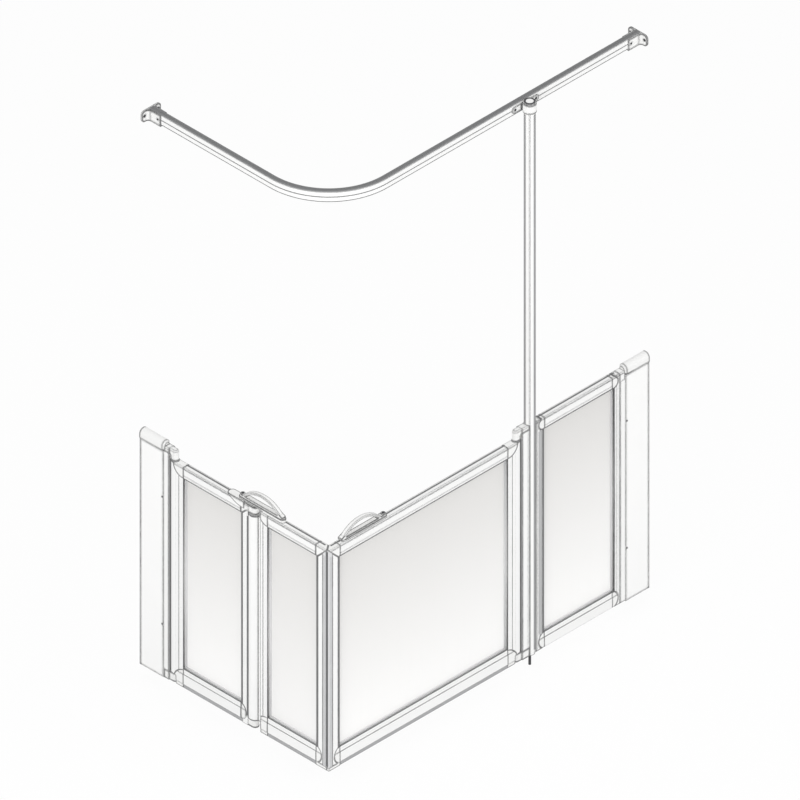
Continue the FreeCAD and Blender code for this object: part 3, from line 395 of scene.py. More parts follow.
# The fine coat and the edged white differ from their finishes only in how wide the painted edge shade
# reaches.
FINE_COAT = replace(FINISHES[Slot.FRAME], name="fine_coat", edge_shade_reach=0.004)
EDGED_WHITE = replace(FINISHES[Slot.MOULDING], name="edged_white", edge_shade_reach=0.012)
# A darker copy of the panel finish for the second leaf: painted shade.
SHADED_FROST = replace(FINISHES[Slot.PANEL], name="shaded_frost", color=(0.888, 0.884, 0.876))
WIPER_GREY = replace(FINISHES[Slot.SEAL], name="wiper_grey", color=(0.38, 0.382, 0.39), wear_and_edge_shade=0.6)
LEAVES = ("door", "first_leaf", "second_leaf")
OWN_FINISHES: dict[str, Finish] = {
    **dict.fromkeys(("left_wall_post", "right_wall_post"), LIT_POST_COAT),
    **dict.fromkeys(("left_post_cap", "right_post_cap", "pole_rail_clamp"), EDGED_WHITE),
    **dict.fromkeys(("left_rail_bracket", "right_rail_bracket"), EDGED_WHITE),
    **dict.fromkeys(("door_pivot_brackets", "left_pivot_brackets", "fold_brackets"), EDGED_WHITE),
    **dict.fromkeys(("curtain_rail", "support_pole", "first_leaf_fold_stile"), FINE_COAT),
    **dict.fromkeys((leaf + "_hinge_stile" for leaf in LEAVES), FINE_COAT),
    **dict.fromkeys((leaf + "_bottom_rail" for leaf in (*LEAVES, "fixed_panel")), FINE_COAT),
    **dict.fromkeys((leaf + "_bottom_seal" for leaf in LEAVES), WIPER_GREY),
    "second_leaf_glazing": SHADED_FROST,
}


class Trees:
    """The geometry trees that make screws, ribs and swept strips."""

    head_corners: ClassVar[int] = 20
    crown_share: ClassVar[float] = 0.66
    slot_length_share: ClassVar[float] = 1.05
    slot_width_share: ClassVar[float] = 0.24
    slot_lift_share: ClassVar[float] = 1.5
    bead_corners: ClassVar[int] = 8

    @classmethod
    @cache
    def screws(cls) -> Tree:
        """Cross-slotted pan heads on the vertices of a mesh, each along the vertex's axis attribute.

        Returns:
            The geometry tree.
        """
        inputs = {"Places": SHAPE, "Head Radius": 0.004, "Head Height": 0.002, "Finish": PAINT}
        graph, given = Graph.group("screw_heads", SHAPE_TREE, inputs, "Geometry")
        radius = given["Head Radius"]
        half = graph.math("MULTIPLY", given["Head Height"], 0.5)
        drum = graph.add(
            "GeometryNodeMeshCylinder",
            {"Vertices": cls.head_corners, "Radius": radius, "Depth": half},
        )
        raised = graph.add(
            "GeometryNodeExtrudeMesh",
            {
                "Mesh": drum.outputs["Mesh"],
                "Selection": drum.outputs["Top"],
                "Offset Scale": half,
                "Individual": False,
            },
            mode="FACES",
        )
        rim = raised.outputs["Mesh"]
        crown = graph.add(
            "GeometryNodeScaleElements",
            {"Geometry": rim, "Selection": raised.outputs["Top"], "Scale": cls.crown_share},
        )
        head = crown.outputs["Geometry"]
        long_side = graph.math("MULTIPLY", radius, cls.slot_length_share)
        short_side = graph.math("MULTIPLY", radius, cls.slot_width_share)
        for sides in ((long_side, short_side), (short_side, long_side)):
            size = graph.add("ShaderNodeCombineXYZ", {0: sides[0], 1: sides[1], 2: half})
            bit = graph.add("GeometryNodeMeshCube", {"Size": size.outputs[0]})
            lift = graph.add("ShaderNodeCombineXYZ", {2: graph.math("MULTIPLY", half, cls.slot_lift_share)})
            moved = graph.add(
                "GeometryNodeTransform", {"Geometry": bit.outputs["Mesh"], "Translation": lift.outputs[0]}
            )
            cut = graph.add(
                "GeometryNodeMeshBoolean", {"Mesh 1": head}, operation="DIFFERENCE", solver="EXACT"
            )
            graph.tree.links.new(moved.outputs[0], cut.inputs["Mesh 2"])
            head = cut.outputs["Mesh"]
        axis = graph.add("GeometryNodeInputNamedAttribute", {"Name": "axis"}, data_type="FLOAT_VECTOR")
        turn = graph.add("FunctionNodeAlignRotationToVector", {"Vector": axis.outputs["Attribute"]}, axis="Z")
        copies = graph.add(
            "GeometryNodeInstanceOnPoints",
            {"Points": given["Places"], "Instance": head, "Rotation": turn.outputs[0]},
        )
        return cls.close(graph, copies.outputs[0], given["Finish"])

    @classmethod
    @cache
    def strips(cls) -> Tree:
        """A flat or round strip swept along every edge path of a mesh.

        Returns:
            The geometry tree.
        """
        inputs = {"Paths": SHAPE, "Width": 0.002, "Thickness": 0.002, "Round": True, "Finish": PAINT}
        graph, given = Graph.group("swept_strips", SHAPE_TREE, inputs, "Geometry")
        path = graph.add("GeometryNodeMeshToCurve", {"Mesh": given["Paths"]})
        upright = graph.add("GeometryNodeSetCurveNormal", {"Curve": path.outputs[0]}, mode="Z_UP")
        flat = graph.add(
            "GeometryNodeCurvePrimitiveQuadrilateral", {"Width": given["Width"], "Height": given["Thickness"]}
        )
        bead = graph.add(
            "GeometryNodeCurvePrimitiveCircle",
            {"Resolution": cls.bead_corners, "Radius": graph.math("MULTIPLY", given["Width"], 0.5)},
        )
        profile = graph.add(
            "GeometryNodeSwitch",
            {"Switch": given["Round"], "False": flat.outputs[0], "True": bead.outputs[0]},
            input_type="GEOMETRY",
        )
        swept = graph.add(
            "GeometryNodeCurveToMesh",
            {"Curve": upright.outputs[0], "Profile Curve": profile.outputs[0], "Fill Caps": True},
        )
        return cls.close(graph, swept.outputs[0], given["Finish"])

    @classmethod
    @cache
    def ribs(cls) -> Tree:
        """A row of upright ribs, a step apart.

        Returns:
            The geometry tree.
        """
        sizes = {"Count": 4, "Step": (0.0, 0.0, 0.0), "Length": 0.8, "Rib Radius": 0.0006}
        inputs = {"Foot": SHAPE, **sizes, "Finish": PAINT}
        graph, given = Graph.group("rib_rows", SHAPE_TREE, inputs, "Geometry")
        tip = graph.add("ShaderNodeCombineXYZ", {2: given["Length"]})
        spine = graph.add("GeometryNodeCurvePrimitiveLine", {"Start": (0.0, 0.0, 0.0), "End": tip.outputs[0]})
        bead = graph.add(
            "GeometryNodeCurvePrimitiveCircle",
            {"Resolution": cls.bead_corners, "Radius": given["Rib Radius"]},
        )
        rib = graph.add(
            "GeometryNodeCurveToMesh",
            {"Curve": spine.outputs[0], "Profile Curve": bead.outputs[0], "Fill Caps": True},
        )
        row = graph.add("GeometryNodeMeshLine", {"Count": given["Count"], "Offset": given["Step"]})
        ribbed = graph.add(
            "GeometryNodeInstanceOnPoints", {"Points": row.outputs[0], "Instance": rib.outputs[0]}
        )
        placed = graph.add(
            "GeometryNodeInstanceOnPoints", {"Points": given["Foot"], "Instance": ribbed.outputs[0]}
        )
        return cls.close(graph, placed.outputs[0], given["Finish"])

    @staticmethod
    def close(graph: Graph, shape: Socket, finish: Socket) -> Tree:
        """Ends a tree with real meshes in the given finish.

        Args:
            graph: The tree's graph.
            shape: What the tree has made.
            finish: The material input.

        Returns:
            The finished tree.
        """
        real = graph.add("GeometryNodeRealizeInstances", {"Geometry": shape})
        done = graph.add("GeometryNodeSetMaterial", {"Geometry": real.outputs[0], "Material": finish})
        graph.add("NodeGroupOutput", {"Geometry": done.outputs[0]})
        return graph.tree


@dataclass(frozen=True)
class Head:
    """The size of a screw head, in millimetres."""

    radius: float
    height: float


class Workshop:
    """Turns points and paths into finished pieces that ride on a body."""

    @staticmethod
    def seed(name: str, paths: Iterable[Sequence[Point]], closed: bool = False) -> bpy.types.Object:
        """Makes a wire mesh from paths in millimetres.

        Args:
            name: The piece's name.
            paths: Runs of points; a run of one point is a lone vertex.
            closed: Whether each run joins its own start.

        Returns:
            The wire object.
        """
        points: list[Vector] = []
        edges: list[tuple[int, int]] = []
        for path in paths:
            first = len(points)
            points += [Vector(point) * MM for point in path]
            edges += [(i, i + 1) for i in range(first, len(points) - 1)]
            if closed:
                edges.append((len(points) - 1, first))
        mesh = bpy.data.meshes.new(name)
        mesh.from_pydata(points, edges, [])
        piece = bpy.data.objects.new(name, mesh)
        bpy.context.scene.collection.objects.link(piece)
        return piece

    @staticmethod
    def grow(
        piece: bpy.types.Object,
        tree: Tree,
        values: dict[str, Any],
        slot: Slot,
        body: str,
        finish: Finish | None = None,
    ) -> None:
        """Runs a geometry tree on a wire and keeps its result as a plain mesh.

        Args:
            piece: The wire object.
            tree: The geometry tree.
            values: The tree's inputs by name.
            slot: The material slot.
            body: The body that the piece rides on.
            finish: The finish, where it isn't the slot's own.
        """
        modifier = piece.modifiers.new("grow", "NODES")
        modifier.node_group = tree
        values = {**values, "Finish": (finish or FINISHES[slot]).material()}
        for socket in tree.interface.items_tree:
            if socket.item_type == "SOCKET" and socket.in_out == "INPUT" and socket.name in values:
                modifier[socket.identifier] = values[socket.name]
        grown = piece.evaluated_get(bpy.context.evaluated_depsgraph_get())
        mesh = bpy.data.meshes.new_from_object(grown)
        piece.modifiers.clear()
        wire = piece.data
        piece.data = mesh
        bpy.data.meshes.remove(wire)
        shape = bmesh.new()
        shape.from_mesh(mesh)
        bmesh.ops.recalc_face_normals(shape, faces=shape.faces)
        shape.to_mesh(mesh)
        shape.free()
        mesh.name = piece.name
        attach(piece, body)
        LOG.info("%s: %d faces on %s", piece.name, len(mesh.polygons), body)

    @classmethod
    def screws(cls, name: str, spots: Sequence[Spot], head: Head, body: str) -> None:
        """Sets dark screw heads on points.

        Args:
            name: The piece's name.
            spots: Each head's place and outward direction.
            head: The heads' size.
            body: The body that carries them.
        """
        piece = cls.seed(name, [[place] for place, _ in spots])
        axis = piece.data.attributes.new("axis", "FLOAT_VECTOR", "POINT")
        for i, (_, direction) in enumerate(spots):
            axis.data[i].vector = direction
        sizes = {"Head Radius": head.radius * MM, "Head Height": head.height * MM}
        cls.grow(piece, Trees.screws(), sizes, Slot.DARK_STEEL, body)

    @classmethod
    def sweep(
        cls,
        name: str,
        paths: Iterable[Sequence[Point]],
        section: tuple[float, ...],
        body: str,
        closed: bool = False,
        finish: Finish = DARK_INSERT,
    ) -> None:
        """Lays flat strips or round beads along paths.

        Args:
            name: The piece's name.
            paths: The runs of points.
            section: A strip's width and thickness, or a bead's diameter alone, in millimetres.
            body: The body that carries them.
            closed: Whether the runs are loops.
            finish: Their finish.
        """
        piece = cls.seed(name, paths, closed)
        sizes = {"Width": section[0] * MM, "Thickness": section[-1] * MM, "Round": len(section) == 1}
        cls.grow(piece, Trees.strips(), sizes, Slot.GASKET, body, finish)

    @classmethod
    def uprights(
        cls,
        name: str,
        feet: Sequence[Plan],
        heights: tuple[float, float],
        plan: Plan,
        body: str,
        finish: Finish = DARK_INSERT,
    ) -> None:
        """Stands flat strips on end.

        Args:
            name: The piece's name.
            feet: Where each strip stands, in plan.
            heights: The strips' lower and upper end.
            plan: A strip's size along X and along Y.
            body: The body that carries them.
            finish: The strips' finish.
        """
        paths = [[(x, y, z) for z in heights] for x, y in feet]
        cls.sweep(name, paths, plan, body, finish=finish)


@dataclass
class Leaf:
    """A framed panel, in its own frame: u along it from its hinge axis, v to the outside, z up."""

    name: str
    body: str
    axis: Plan
    along: Plan
    outside: Plan
    near_edge: float
    far_edge: float
    bottom: float = 14.0
    top: float = LEAF_TOP
    top_rail: float = 41.0
    bottom_rail: float = 58.0
    gasket_half: float = 5.5
    gasket_reveal: float = 8.0
    bead: float = 1.8
    wedge: float = 3.4
    seat: float = 0.2
    fin_width: float = 7.0
    fin_thickness: float = 0.8
    fin_at_far: bool = True
    infill_width: float = 5.5
    infill_depth: float = -4.0
    infill_ends: tuple[float, float] = (-4.0, 16.0)

    def place(self, u: float, v: float, z: float) -> Point:
        """Moves a point of the leaf to the screen's frame.

        Args:
            u: Along the leaf.
            v: Towards the outside.
            z: Above the floor.

        Returns:
            The point in millimetres.
        """
        x = self.axis[0] + u * self.along[0] + v * self.outside[0]
        y = self.axis[1] + u * self.along[1] + v * self.outside[1]
        return (x, y, z)

    def loops(self, inset: float, depth: float) -> list[Path]:
        """Loops inside the frame's opening, one on each face.

        Args:
            inset: How far a loop lies inside the opening's edges.
            depth: How far it lies from the leaf's middle plane.

        Returns:
            Closed paths in millimetres.
        """
        low, high = self.bottom + self.bottom_rail + inset, self.top - self.top_rail - inset
        near, far = self.near_edge + inset, self.far_edge - inset
        corners = [(near, low), (far, low), (far, high), (near, high)]
        return [[self.place(u, face * depth, z) for u, z in corners] for face in SIDES]

    def fins(self) -> None:
        """Stands a dark fin gasket on each face of the stile that the panel is glazed from."""
        reach = self.fin_width / 2 - self.seat
        u = self.far_edge - reach if self.fin_at_far else self.near_edge + reach
        depth = HALF_FRAME - self.fin_thickness
        feet = [self.place(u, face * depth, 0.0)[:2] for face in SIDES]
        heights = (self.bottom + self.bottom_rail, self.top - self.top_rail)
        plan = (self.fin_width, self.fin_thickness) if self.along[0] else (self.fin_thickness, self.fin_width)
        Workshop.uprights(self.name + "_fins", feet, heights, plan, self.body)

    def infill(self) -> None:
        """Lays the dark infill strip along the slot in the top rail, through which the panel is glazed."""
        ends = (self.near_edge + self.infill_ends[0], self.far_edge + self.infill_ends[1])
        run = [self.place(u, self.infill_depth, self.top + self.seat) for u in ends]
        section = (self.infill_width, self.fin_thickness)
        Workshop.sweep(self.name + "_top_infill", [run], section, self.body)

    def build(self) -> None:
        """Adds the gasket's lips, the dark wedge beads at the frame's inner edges, fins and infill."""
        lips = self.loops(self.gasket_reveal - self.bead / 2, self.gasket_half)
        pale = FINISHES[Slot.GASKET]
        Workshop.sweep(self.name + "_gasket_lips", lips, (self.bead,), self.body, True, pale)
        reach = self.wedge / 2
        wedges = self.loops(reach - self.seat, HALF_FRAME - reach - self.seat)
        Workshop.sweep(self.name + "_wedge_beads", wedges, (self.wedge,), self.body, True)
        self.fins()
        self.infill()


@dataclass
class CornerSeals:
    """The ribs and the dark magnet lines of the two seals that meet at the open corner."""

    left_face: float = LEFT_X - HALF_FRAME
    front_face: float = -HALF_FRAME
    door_ribs_start: float = -900.5
    fold_ribs_start: float = 2.0
    rib_radius: float = 0.6
    rib_step: float = 2.8
    rib_count: int = 4
    foot: float = 16.0
    rib_length: float = 806.0
    magnet_top: float = 842.0
    magnet_thickness: float = 0.6
    fold_magnet_middle: float = -3.0
    fold_magnet_width: float = 4.8
    door_magnet_middle: float = -8.8
    door_magnet_width: float = 4.4

    def build(self) -> None:
        """Adds ribs and a magnet line to each seal."""
        for name, body, start, way in (
            ("door_seal_ribs", "door", (self.door_ribs_start, self.front_face), TO_RIGHT),
            ("fold_seal_ribs", "second_leaf", (self.left_face, self.fold_ribs_start), TO_BACK),
        ):
            piece = Workshop.seed(name, [[(*start, self.foot)]])
            values = {
                "Count": self.rib_count,
                "Step": (way[0] * self.rib_step * MM, way[1] * self.rib_step * MM, 0.0),
                "Length": self.rib_length * MM,
                "Rib Radius": self.rib_radius * MM,
            }
            Workshop.grow(piece, Trees.ribs(), values, Slot.SEAL, body)
        heights = (self.foot, self.magnet_top)
        for name, body, middle, width in (
            ("fold_magnet_line", "second_leaf", self.fold_magnet_middle, self.fold_magnet_width),
            ("door_magnet_line", "door", self.door_magnet_middle, self.door_magnet_width),
        ):
            Workshop.uprights(name, [(self.left_face, middle)], heights, (self.magnet_thickness, width), body)


@dataclass
class HingeGrooves:
    """Dark pile strips beside the hinge bulbs, on both jambs and on the first leaf's fold stile: partly real
    pile, partly painted shade that darkens the grooves there.
    """

    door_face: float = -47.0
    left_face: float = 695.0
    jamb_offset: float = 8.5
    jamb_heights: tuple[float, float] = (34.0, LEAF_TOP)
    jamb_width: float = 9.0
    fold_y: float = 346.2
    fold_heights: tuple[float, float] = (36.0, 803.0)
    fold_width: float = 6.0
    thickness: float = 0.6

    def build(self) -> None:
        """Lays a strip on each side of both jambs and of the fold stile."""
        at_door = [(self.door_face, side * self.jamb_offset) for side in SIDES]
        at_wall = [(LEFT_X + side * self.jamb_offset, self.left_face) for side in SIDES]
        at_fold = [(LEFT_X + side * HALF_FRAME, self.fold_y) for side in SIDES]
        door_plan = (self.thickness, self.jamb_width)
        wall_plan = (self.jamb_width, self.thickness)
        fold_plan = (self.thickness, self.fold_width)
        # The dark strips also paint the grooves' shade.
        Workshop.uprights("door_groove_strips", at_door, self.jamb_heights, door_plan, "frame", GROOVE_SHADE_GREY)
        Workshop.uprights("left_groove_strips", at_wall, self.jamb_heights, wall_plan, "frame", GROOVE_SHADE_GREY)
        Workshop.uprights("fold_groove_strips", at_fold, self.fold_heights, fold_plan, "first_leaf")


@dataclass
class Pivot:
    """A hinge bulb on its pins: a dark washer ring at each end, partly painted shade between bulb and
    bracket, and a dark sole round the lower bracket's foot, partly a painted contact shadow.
    """

    name: str
    leaf: str
    carrier: str
    axis: Plan
    along: Plan
    bulb_radius: float = 14.0
    bulb_bottom: float = 33.6
    bulb_top: float = LEAF_TOP
    nose_radius: float = 11.0
    foot_half: float = 14.0
    foot_start: float = -36.0
    foot_end: float = -16.0
    sole_height: float = 3.7
    ring_inset: float = 2.1
    bead: float = 7.0
    proud: float = 0.7
    arc_steps: int = 32

    def place(self, u: float, v: float, z: float) -> Point:
        """A point from its distance along the leaf, across it and above the floor."""
        (x, y), (a, b) = self.axis, self.along
        return (x + a * u - b * v, y + b * u + a * v, z)

    def arc(self, radius: float, start: float, sweep: float, z: float) -> Path:
        """Points on a circle about the pins.

        Args:
            radius: The circle's radius in millimetres.
            start: The first angle from the leaf's direction, in degrees.
            sweep: The angle that the points span, in degrees.
            z: The height.

        Returns:
            The points.
        """
        angles = [math.radians(start + sweep * i / self.arc_steps) for i in range(self.arc_steps + 1)]
        return [self.place(radius * math.cos(angle), radius * math.sin(angle), z) for angle in angles]

    def build(self) -> None:
        """Lays the two rings and the sole."""
        inset = self.bead / 2 - self.proud
        ends = (self.bulb_bottom + self.ring_inset, self.bulb_top - self.ring_inset)
        rings = [self.arc(self.bulb_radius - inset, 0.0, 360.0, z)[:-1] for z in ends]
        # Dark rings at the bulb's ends: washers that also paint the shade between bulb and brackets.
        Workshop.sweep(self.name + "_washer_shade_rings", rings, (self.bead,), self.leaf, True)
        half, nose, end = self.foot_half - inset, self.nose_radius - inset, self.foot_end - inset
        side = list(dict.fromkeys([(self.foot_start, half), (end, half), (end, nose)]))
        sole = [self.place(u, -v, self.sole_height) for u, v in side]
        sole += self.arc(nose, -90.0, 180.0, self.sole_height)
        sole += [self.place(u, v, self.sole_height) for u, v in reversed(side)]
        # The dark sole round the bracket's foot also paints a contact shadow at its base.
        Workshop.sweep(self.name + "_shadow_sole", [sole], (self.bead,), self.carrier)


@dataclass
class PoleStripsAndInserts:
    """Grey strips on the fixed panel's stile beside the pole, and dark inserts in the four flutes nearest the
    pole's two sides, which paint shade down those sides.
    """

    middle: float = 33.0
    width: float = 15.0
    thickness: float = 0.6
    heights: tuple[float, float] = (62.0, 840.0)
    insert_foot: dict[float, float] = field(
        default_factory=lambda: {105.0: 20.0, 165.0: 860.0, 285.0: 20.0, 345.0: 900.0}
    )
    insert_top: float = 2070.0
    insert_radius: float = 15.5
    insert_width: float = 11.0

    def build(self) -> None:
        """Stands a grey strip on each face of the fixed panel's stile, and a dark bead of painted shade in
        each of the four flutes.
        """
        feet = [(self.middle, side * HALF_FRAME) for side in SIDES]
        plan = (self.width, self.thickness)
        Workshop.uprights("pole_grey_strips", feet, self.heights, plan, "frame", STRIP_GREY)
        # The four flutes lie either side of the pole's outline seen from the front left, so their dark beads
        # paint shade down its sides.
        runs: list[Path] = []
        for angle, foot in self.insert_foot.items():
            x = self.insert_radius * math.cos(math.radians(angle))
            y = self.insert_radius * math.sin(math.radians(angle))
            runs.append([(x, y, foot), (x, y, self.insert_top)])
        Workshop.sweep("pole_flute_shade_inserts", runs, (self.insert_width,), "frame", finish=GROOVE_SHADE_GREY)


@dataclass
class WallPosts:
    """The side screws of the wall posts."""

    half_post: float = 16.2
    inset: float = 6.5
    left_edge: float = 716.0
    right_edge: float = 408.0
    heights: tuple[float, ...] = (202.0, 690.0)
    head: Head = Head(3.6, 1.8)

    def build(self) -> None:
        """Sets a screw near the edge of each flange."""
        spots: list[Spot] = []
        for z in self.heights:
            for side in SIDES:
                left = (LEFT_X + side * self.half_post, self.left_edge + self.inset, z)
                right = (self.right_edge + self.inset, side * self.half_post, z)
                spots += [(left, (side, 0.0, 0.0)), (right, (0.0, side, 0.0))]
        Workshop.screws("post_side_screws", spots, self.head, "frame")


@dataclass
class CurtainRail:
    """The rail's grey top cover, dark slot strip and face lines, which paint shade on the rail's top and
    faces, the dark ring on the pole's cap, which paints the shadow gap round it, and the brackets' screws.
    """

    rail_top: float = 2115.0
    middle: float = 2096.0
    left_x: float = -860.0
    long_y: float = 31.0
    right_wall: float = 515.0
    left_wall: float = 823.0
    bend: float = 250.0
    bend_steps: int = 40
    flange: float = 6.0
    ear_half: float = 31.0
    ear_head: Head = Head(5.0, 2.6)
    grub_reach: float = 48.0
    grub_head: Head = Head(3.4, 1.4)
    saddle_half: float = 14.2
    pole_nest: float = 18.3
    pole_radius: float = 18.0
    wing_half: float = 46.0
    wing_head: Head = Head(4.6, 2.4)
    slot_width: float = 8.4
    slot_thickness: float = 1.4
    cover_width: float = 19.6
    cover_thickness: float = 1.0
    cover_gap: float = 0.1
    half_rail: float = 10.0
    line_heights: tuple[float, ...] = (2078.8, 2096.0)
    line_depth: float = 0.6
    line_height: float = 2.4
    bracket_reach: float = 62.0
    ring_width: float = 5.0
    ring_thickness: float = 1.4
    ring_lift: float = 0.35
    ring_steps: int = 48
    pole_top: float = 2117.0

    def strip_path(self, offset: float, z: float, gap: float) -> Path:
        """A line along the rail from the left wall round the bend to the right wall.

        Args:
            offset: How far it lies inside the rail's middle line.
            z: Its height above the floor.
            gap: How far from each wall it stops.

        Returns:
            The path in millimetres.
        """
        turn_x, turn_y = self.left_x + self.bend, self.long_y + self.bend
        radius = self.bend - offset
        path: Path = [(self.left_x + offset, self.left_wall - gap, z)]
        for i in range(self.bend_steps + 1):
            angle = math.pi + math.pi / 2 * i / self.bend_steps
            path.append((turn_x + radius * math.cos(angle), turn_y + radius * math.sin(angle), z))
        path.append((self.right_wall - gap, self.long_y + offset, z))
        return path

    def covers(self) -> None:
        """Lays the dark slot strip and grey cover that paint the shade of the rail's top, and the dark lines
        of painted shade on the rail's faces.
        """
        # The slot strip and the grey cover on top paint the shade of the rail's top face.
        for name, width, thickness, finish in (
            ("rail_slot_shade_strip", self.slot_width, self.slot_thickness, DARK_INSERT),
            ("rail_top_shade_cover", self.cover_width, self.cover_thickness, WIPER_GREY),
        ):
            height = self.rail_top + self.cover_gap + thickness / 2
            path = self.strip_path(0.0, height, self.flange)
            Workshop.sweep(name, [path], (width, thickness), "frame", finish=finish)
        # Dark lines at the middle and near the lower edge of the rail's faces are painted shade.
        faces = [(side * self.half_rail, z) for side in SIDES for z in self.line_heights]
        lines = [self.strip_path(offset, z, self.bracket_reach) for offset, z in faces]
        Workshop.sweep("rail_face_shade_lines", lines, (self.line_depth, self.line_height), "frame")

    def cap_ring(self) -> None:
        """Lays the dark ring on the pole's cap, which paints the shadow gap round the cap's edge."""
        radius = self.pole_radius - self.ring_width / 2
        height = self.pole_top + self.ring_lift
        angles = [2 * math.pi * i / self.ring_steps for i in range(self.ring_steps)]
        ring = [(radius * math.cos(angle), radius * math.sin(angle), height) for angle in angles]
        section = (self.ring_width, self.ring_thickness)
        Workshop.sweep("pole_cap_shade_ring", [ring], section, "frame", True, FINISHES[Slot.DARK_STEEL])

    def fasteners(self) -> None:
        """Sets the screws of both brackets and of the clamp on the pole."""
        front, left, z = (*TO_FRONT, 0.0), (*TO_LEFT, 0.0), self.middle
        ears: list[Spot] = []
        wings: list[Spot] = []
        for side in SIDES:
            offset = side * self.ear_half
            ears.append(((self.left_x + offset, self.left_wall - self.flange, z), front))
            ears.append(((self.right_wall - self.flange, self.long_y + offset, z), left))
            wings.append(((side * self.wing_half, self.pole_nest, z), front))
        grubs: list[Spot] = [
            ((self.left_x - self.saddle_half, self.left_wall - self.grub_reach, z), left),
            ((self.right_wall - self.grub_reach, self.long_y - self.saddle_half, z), front),
        ]
        Workshop.screws("rail_bracket_screws", ears, self.ear_head, "frame")
        Workshop.screws("rail_grub_screws", grubs, self.grub_head, "frame")
        Workshop.screws("rail_clamp_screws", wings, self.wing_head, "frame")

    def build(self) -> None:
        """Adds the rail's strips, the pole's ring and the screws."""
        self.covers()
        self.cap_ring()
        self.fasteners()


@dataclass
class Handles:
    """The screws in the bosses of the loop handles."""

    door_place: Point = (-650.0, 0.0, 862.0)
    fold_place: Point = (LEFT_X, 381.0, 868.0)
    head: Head = Head(5.0, 2.0)

    def build(self) -> None:
        """Sets a dark screw in each boss."""
        for name, place, body in (
            ("door_handle_screw", self.door_place, "door"),
            ("fold_handle_screw", self.fold_place, "second_leaf"),
        ):
            Workshop.screws(name, [(place, UPWARDS)], self.head, body)


@dataclass
class Screen:
    """The whole screen: dresses the frame's solids and adds the leaves' and rail's fine pieces."""

    leaves: list[Leaf] = field(
        default_factory=lambda: [
            Leaf("door", "door", DOOR_AXIS, TO_LEFT, TO_FRONT, near_edge=48.0, far_edge=800.0),
            Leaf("first_leaf", "first_leaf", LEFT_AXIS, TO_FRONT, TO_LEFT, near_edge=48.0, far_edge=311.0),
            Leaf("second_leaf", "second_leaf", FOLD_AXIS, TO_FRONT, TO_LEFT, near_edge=68.0, far_edge=291.0),
            Leaf(
                "fixed_panel",
                "frame",
                POLE_AXIS,
                TO_RIGHT,
                TO_FRONT,
                near_edge=43.0,
                far_edge=361.0,
                bottom=2.0,
                top=883.0,
                fin_at_far=False,
            ),
        ]
    )
    pivots: list[Pivot] = field(
        default_factory=lambda: [
            Pivot("door_pivot", "door", "frame", DOOR_AXIS, TO_LEFT),
            Pivot("left_pivot", "first_leaf", "frame", LEFT_AXIS, TO_FRONT),
            Pivot(
                "fold_pivot",
                "second_leaf",
                "first_leaf",
                FOLD_AXIS,
                TO_FRONT,
                bulb_radius=21.0,
                bulb_top=818.4,
                nose_radius=13.0,
                foot_half=13.0,
                sole_height=4.7,
            ),
        ]
    )

    def dress(self) -> None:
        """Gives every solid of the frame its finish."""
        for part in frame["record"]["subparts"]:
            solid = frame["nodes"][part["node"]]
            usual = FINISHES[Slot(part["material_slot"])]
            finish = OWN_FINISHES.get(part["node"], usual).material()
            solid.data.materials.clear()
            solid.data.materials.append(finish)
            LOG.info("%s: %s", part["node"], finish.name)

    def build(self) -> None:
        """Builds the fine pieces in order."""
        for leaf in self.leaves:
            leaf.build()
        for pivot in self.pivots:
            pivot.build()
        for group in (CornerSeals(), HingeGrooves(), PoleStripsAndInserts(), WallPosts(), CurtainRail(), Handles()):
            group.build()


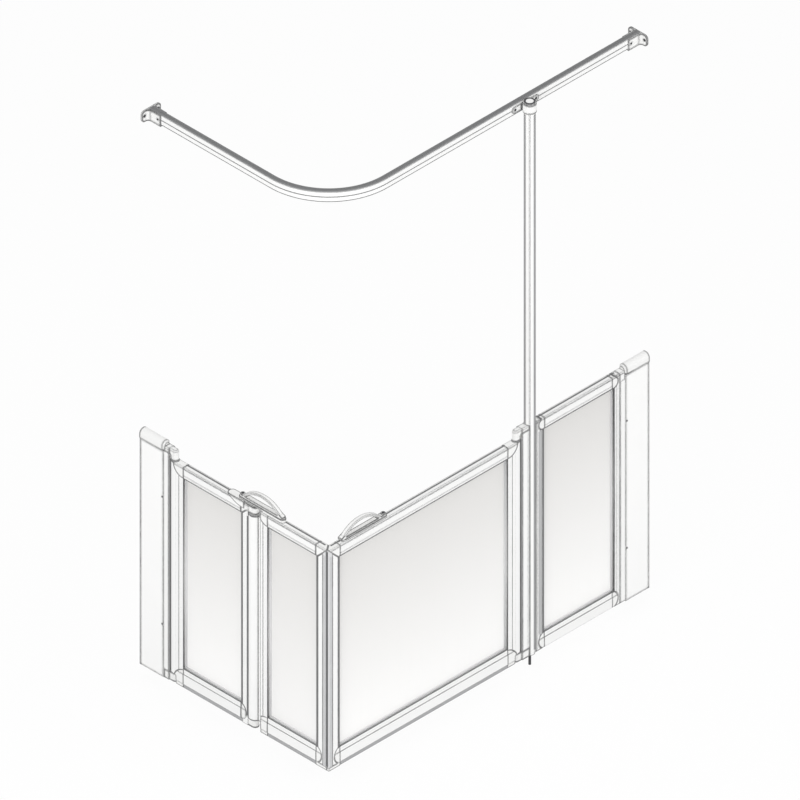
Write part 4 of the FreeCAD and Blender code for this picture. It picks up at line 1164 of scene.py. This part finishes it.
@dataclass
class Studio:
    """A pale floor, soft light from above and both sides, and the drawing's isometric camera."""

    target: Point = (-0.2876, 0.2876, 0.969)
    azimuth: float = -45.0
    elevation: float = 35.264
    distance: float = 6.0
    view_width: float = 2.508
    far_clip: float = 60.0
    floor_height: float = -0.046
    floor_half: float = 9.0
    floor_tone: float = 0.9
    floor_white: float = 0.93
    world_level: float = 0.68
    lamps: tuple[tuple[str, Point, float, float], ...] = (
        ("key_light", (-6.0, -2.4, 3.2), 4.0, 160.0),
        ("fill_light", (2.4, -6.6, 3.2), 4.0, 118.0),
        ("top_light", (-0.3, 0.4, 5.0), 3.5, 30.0),
    )

    def build(self) -> None:
        """Sets up the world, the floor, the lamps and the camera."""
        scene = bpy.context.scene
        scene.view_settings.view_transform = "Standard"
        self.world(scene)
        self.floor()
        for row in self.lamps:
            self.lamp(*row)
        self.camera(scene)

    def background_share(self, graph: Graph) -> Socket:
        """Where the white background shows: straight to the camera, in gloss and through glass.

        Args:
            graph: The tree of the world or of the floor.

        Returns:
            A socket that is 1 there and 0 elsewhere.
        """
        ray = graph.add("ShaderNodeLightPath")
        share = graph.math("MAXIMUM", ray.outputs["Is Camera Ray"], ray.outputs["Is Glossy Ray"])
        return graph.math("MAXIMUM", share, ray.outputs["Is Transmission Ray"])

    def world(self, scene: bpy.types.Scene) -> None:
        """Lights the room evenly and shows white behind the object.

        Args:
            scene: The scene to light.
        """
        world = bpy.data.worlds.new("studio_world")
        graph = Graph.afresh(world)
        light = graph.add("ShaderNodeBackground", {"Color": WHITE, "Strength": self.world_level})
        white = graph.add("ShaderNodeBackground", {"Color": WHITE, "Strength": 1.0})
        share = self.background_share(graph)
        mix = graph.add("ShaderNodeMixShader", {0: share, 1: light.outputs[0], 2: white.outputs[0]})
        graph.add("ShaderNodeOutputWorld", {"Surface": mix.outputs[0]})
        scene.world = world

    def floor(self) -> None:
        """Lays a wide pale floor that keeps a light shadow."""
        half = self.floor_half
        mesh = bpy.data.meshes.new("studio_floor")
        corners = [(-half, -half), (half, -half), (half, half), (-half, half)]
        mesh.from_pydata([(x, y, self.floor_height) for x, y in corners], [], [(0, 1, 2, 3)])
        floor = bpy.data.objects.new("studio_floor", mesh)
        bpy.context.scene.collection.objects.link(floor)
        made = bpy.data.materials.new("studio_floor")
        graph = Graph.afresh(made)
        tone = self.floor_tone
        matt = graph.add("ShaderNodeBsdfDiffuse", {"Color": (tone, tone, tone, 1.0)})
        white = graph.add("ShaderNodeEmission", {"Color": WHITE, "Strength": 1.0})
        share = graph.math("MULTIPLY", self.background_share(graph), self.floor_white)
        mix = graph.add("ShaderNodeMixShader", {0: share, 1: matt.outputs[0], 2: white.outputs[0]})
        graph.add("ShaderNodeOutputMaterial", {"Surface": mix.outputs[0]})
        mesh.materials.append(made)

    def lamp(self, name: str, place: Point, size: float, power: float) -> None:
        """Hangs a soft square lamp that faces the screen.

        Args:
            name: The lamp's name.
            place: Where it hangs, in metres.
            size: Its side in metres.
            power: Its power in watts.
        """
        light = bpy.data.lights.new(name, "AREA")
        light.size = size
        light.energy = power
        lamp = bpy.data.objects.new(name, light)
        lamp.location = place
        aim = Vector(self.target) - Vector(place)
        lamp.rotation_euler = aim.to_track_quat("-Z", "Y").to_euler()
        bpy.context.scene.collection.objects.link(lamp)

    def camera(self, scene: bpy.types.Scene) -> None:
        """Places the parallel camera on the drawing's line of sight.

        Args:
            scene: The scene that gets the camera.
        """
        lens = bpy.data.cameras.new("drawing_camera")
        lens.type = "ORTHO"
        lens.ortho_scale = self.view_width
        lens.clip_end = self.far_clip
        camera = bpy.data.objects.new("drawing_camera", lens)
        turn, rise = math.radians(self.azimuth), math.radians(self.elevation)
        back = Vector((math.sin(turn) * math.cos(rise), -math.cos(turn) * math.cos(rise), math.sin(rise)))
        camera.location = Vector(self.target) + back * self.distance
        camera.rotation_euler = (-back).to_track_quat("-Z", "Y").to_euler()
        scene.collection.objects.link(camera)
        scene.camera = camera


def main() -> None:
    """Builds the studio and the screen."""
    logging.basicConfig(level=logging.INFO, format="%(name)s: %(message)s")
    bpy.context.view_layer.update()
    Studio().build()
    screen = Screen()
    screen.dress()
    screen.build()
    LOG.info("sizes written")


if __name__ == "__main__":
    main()
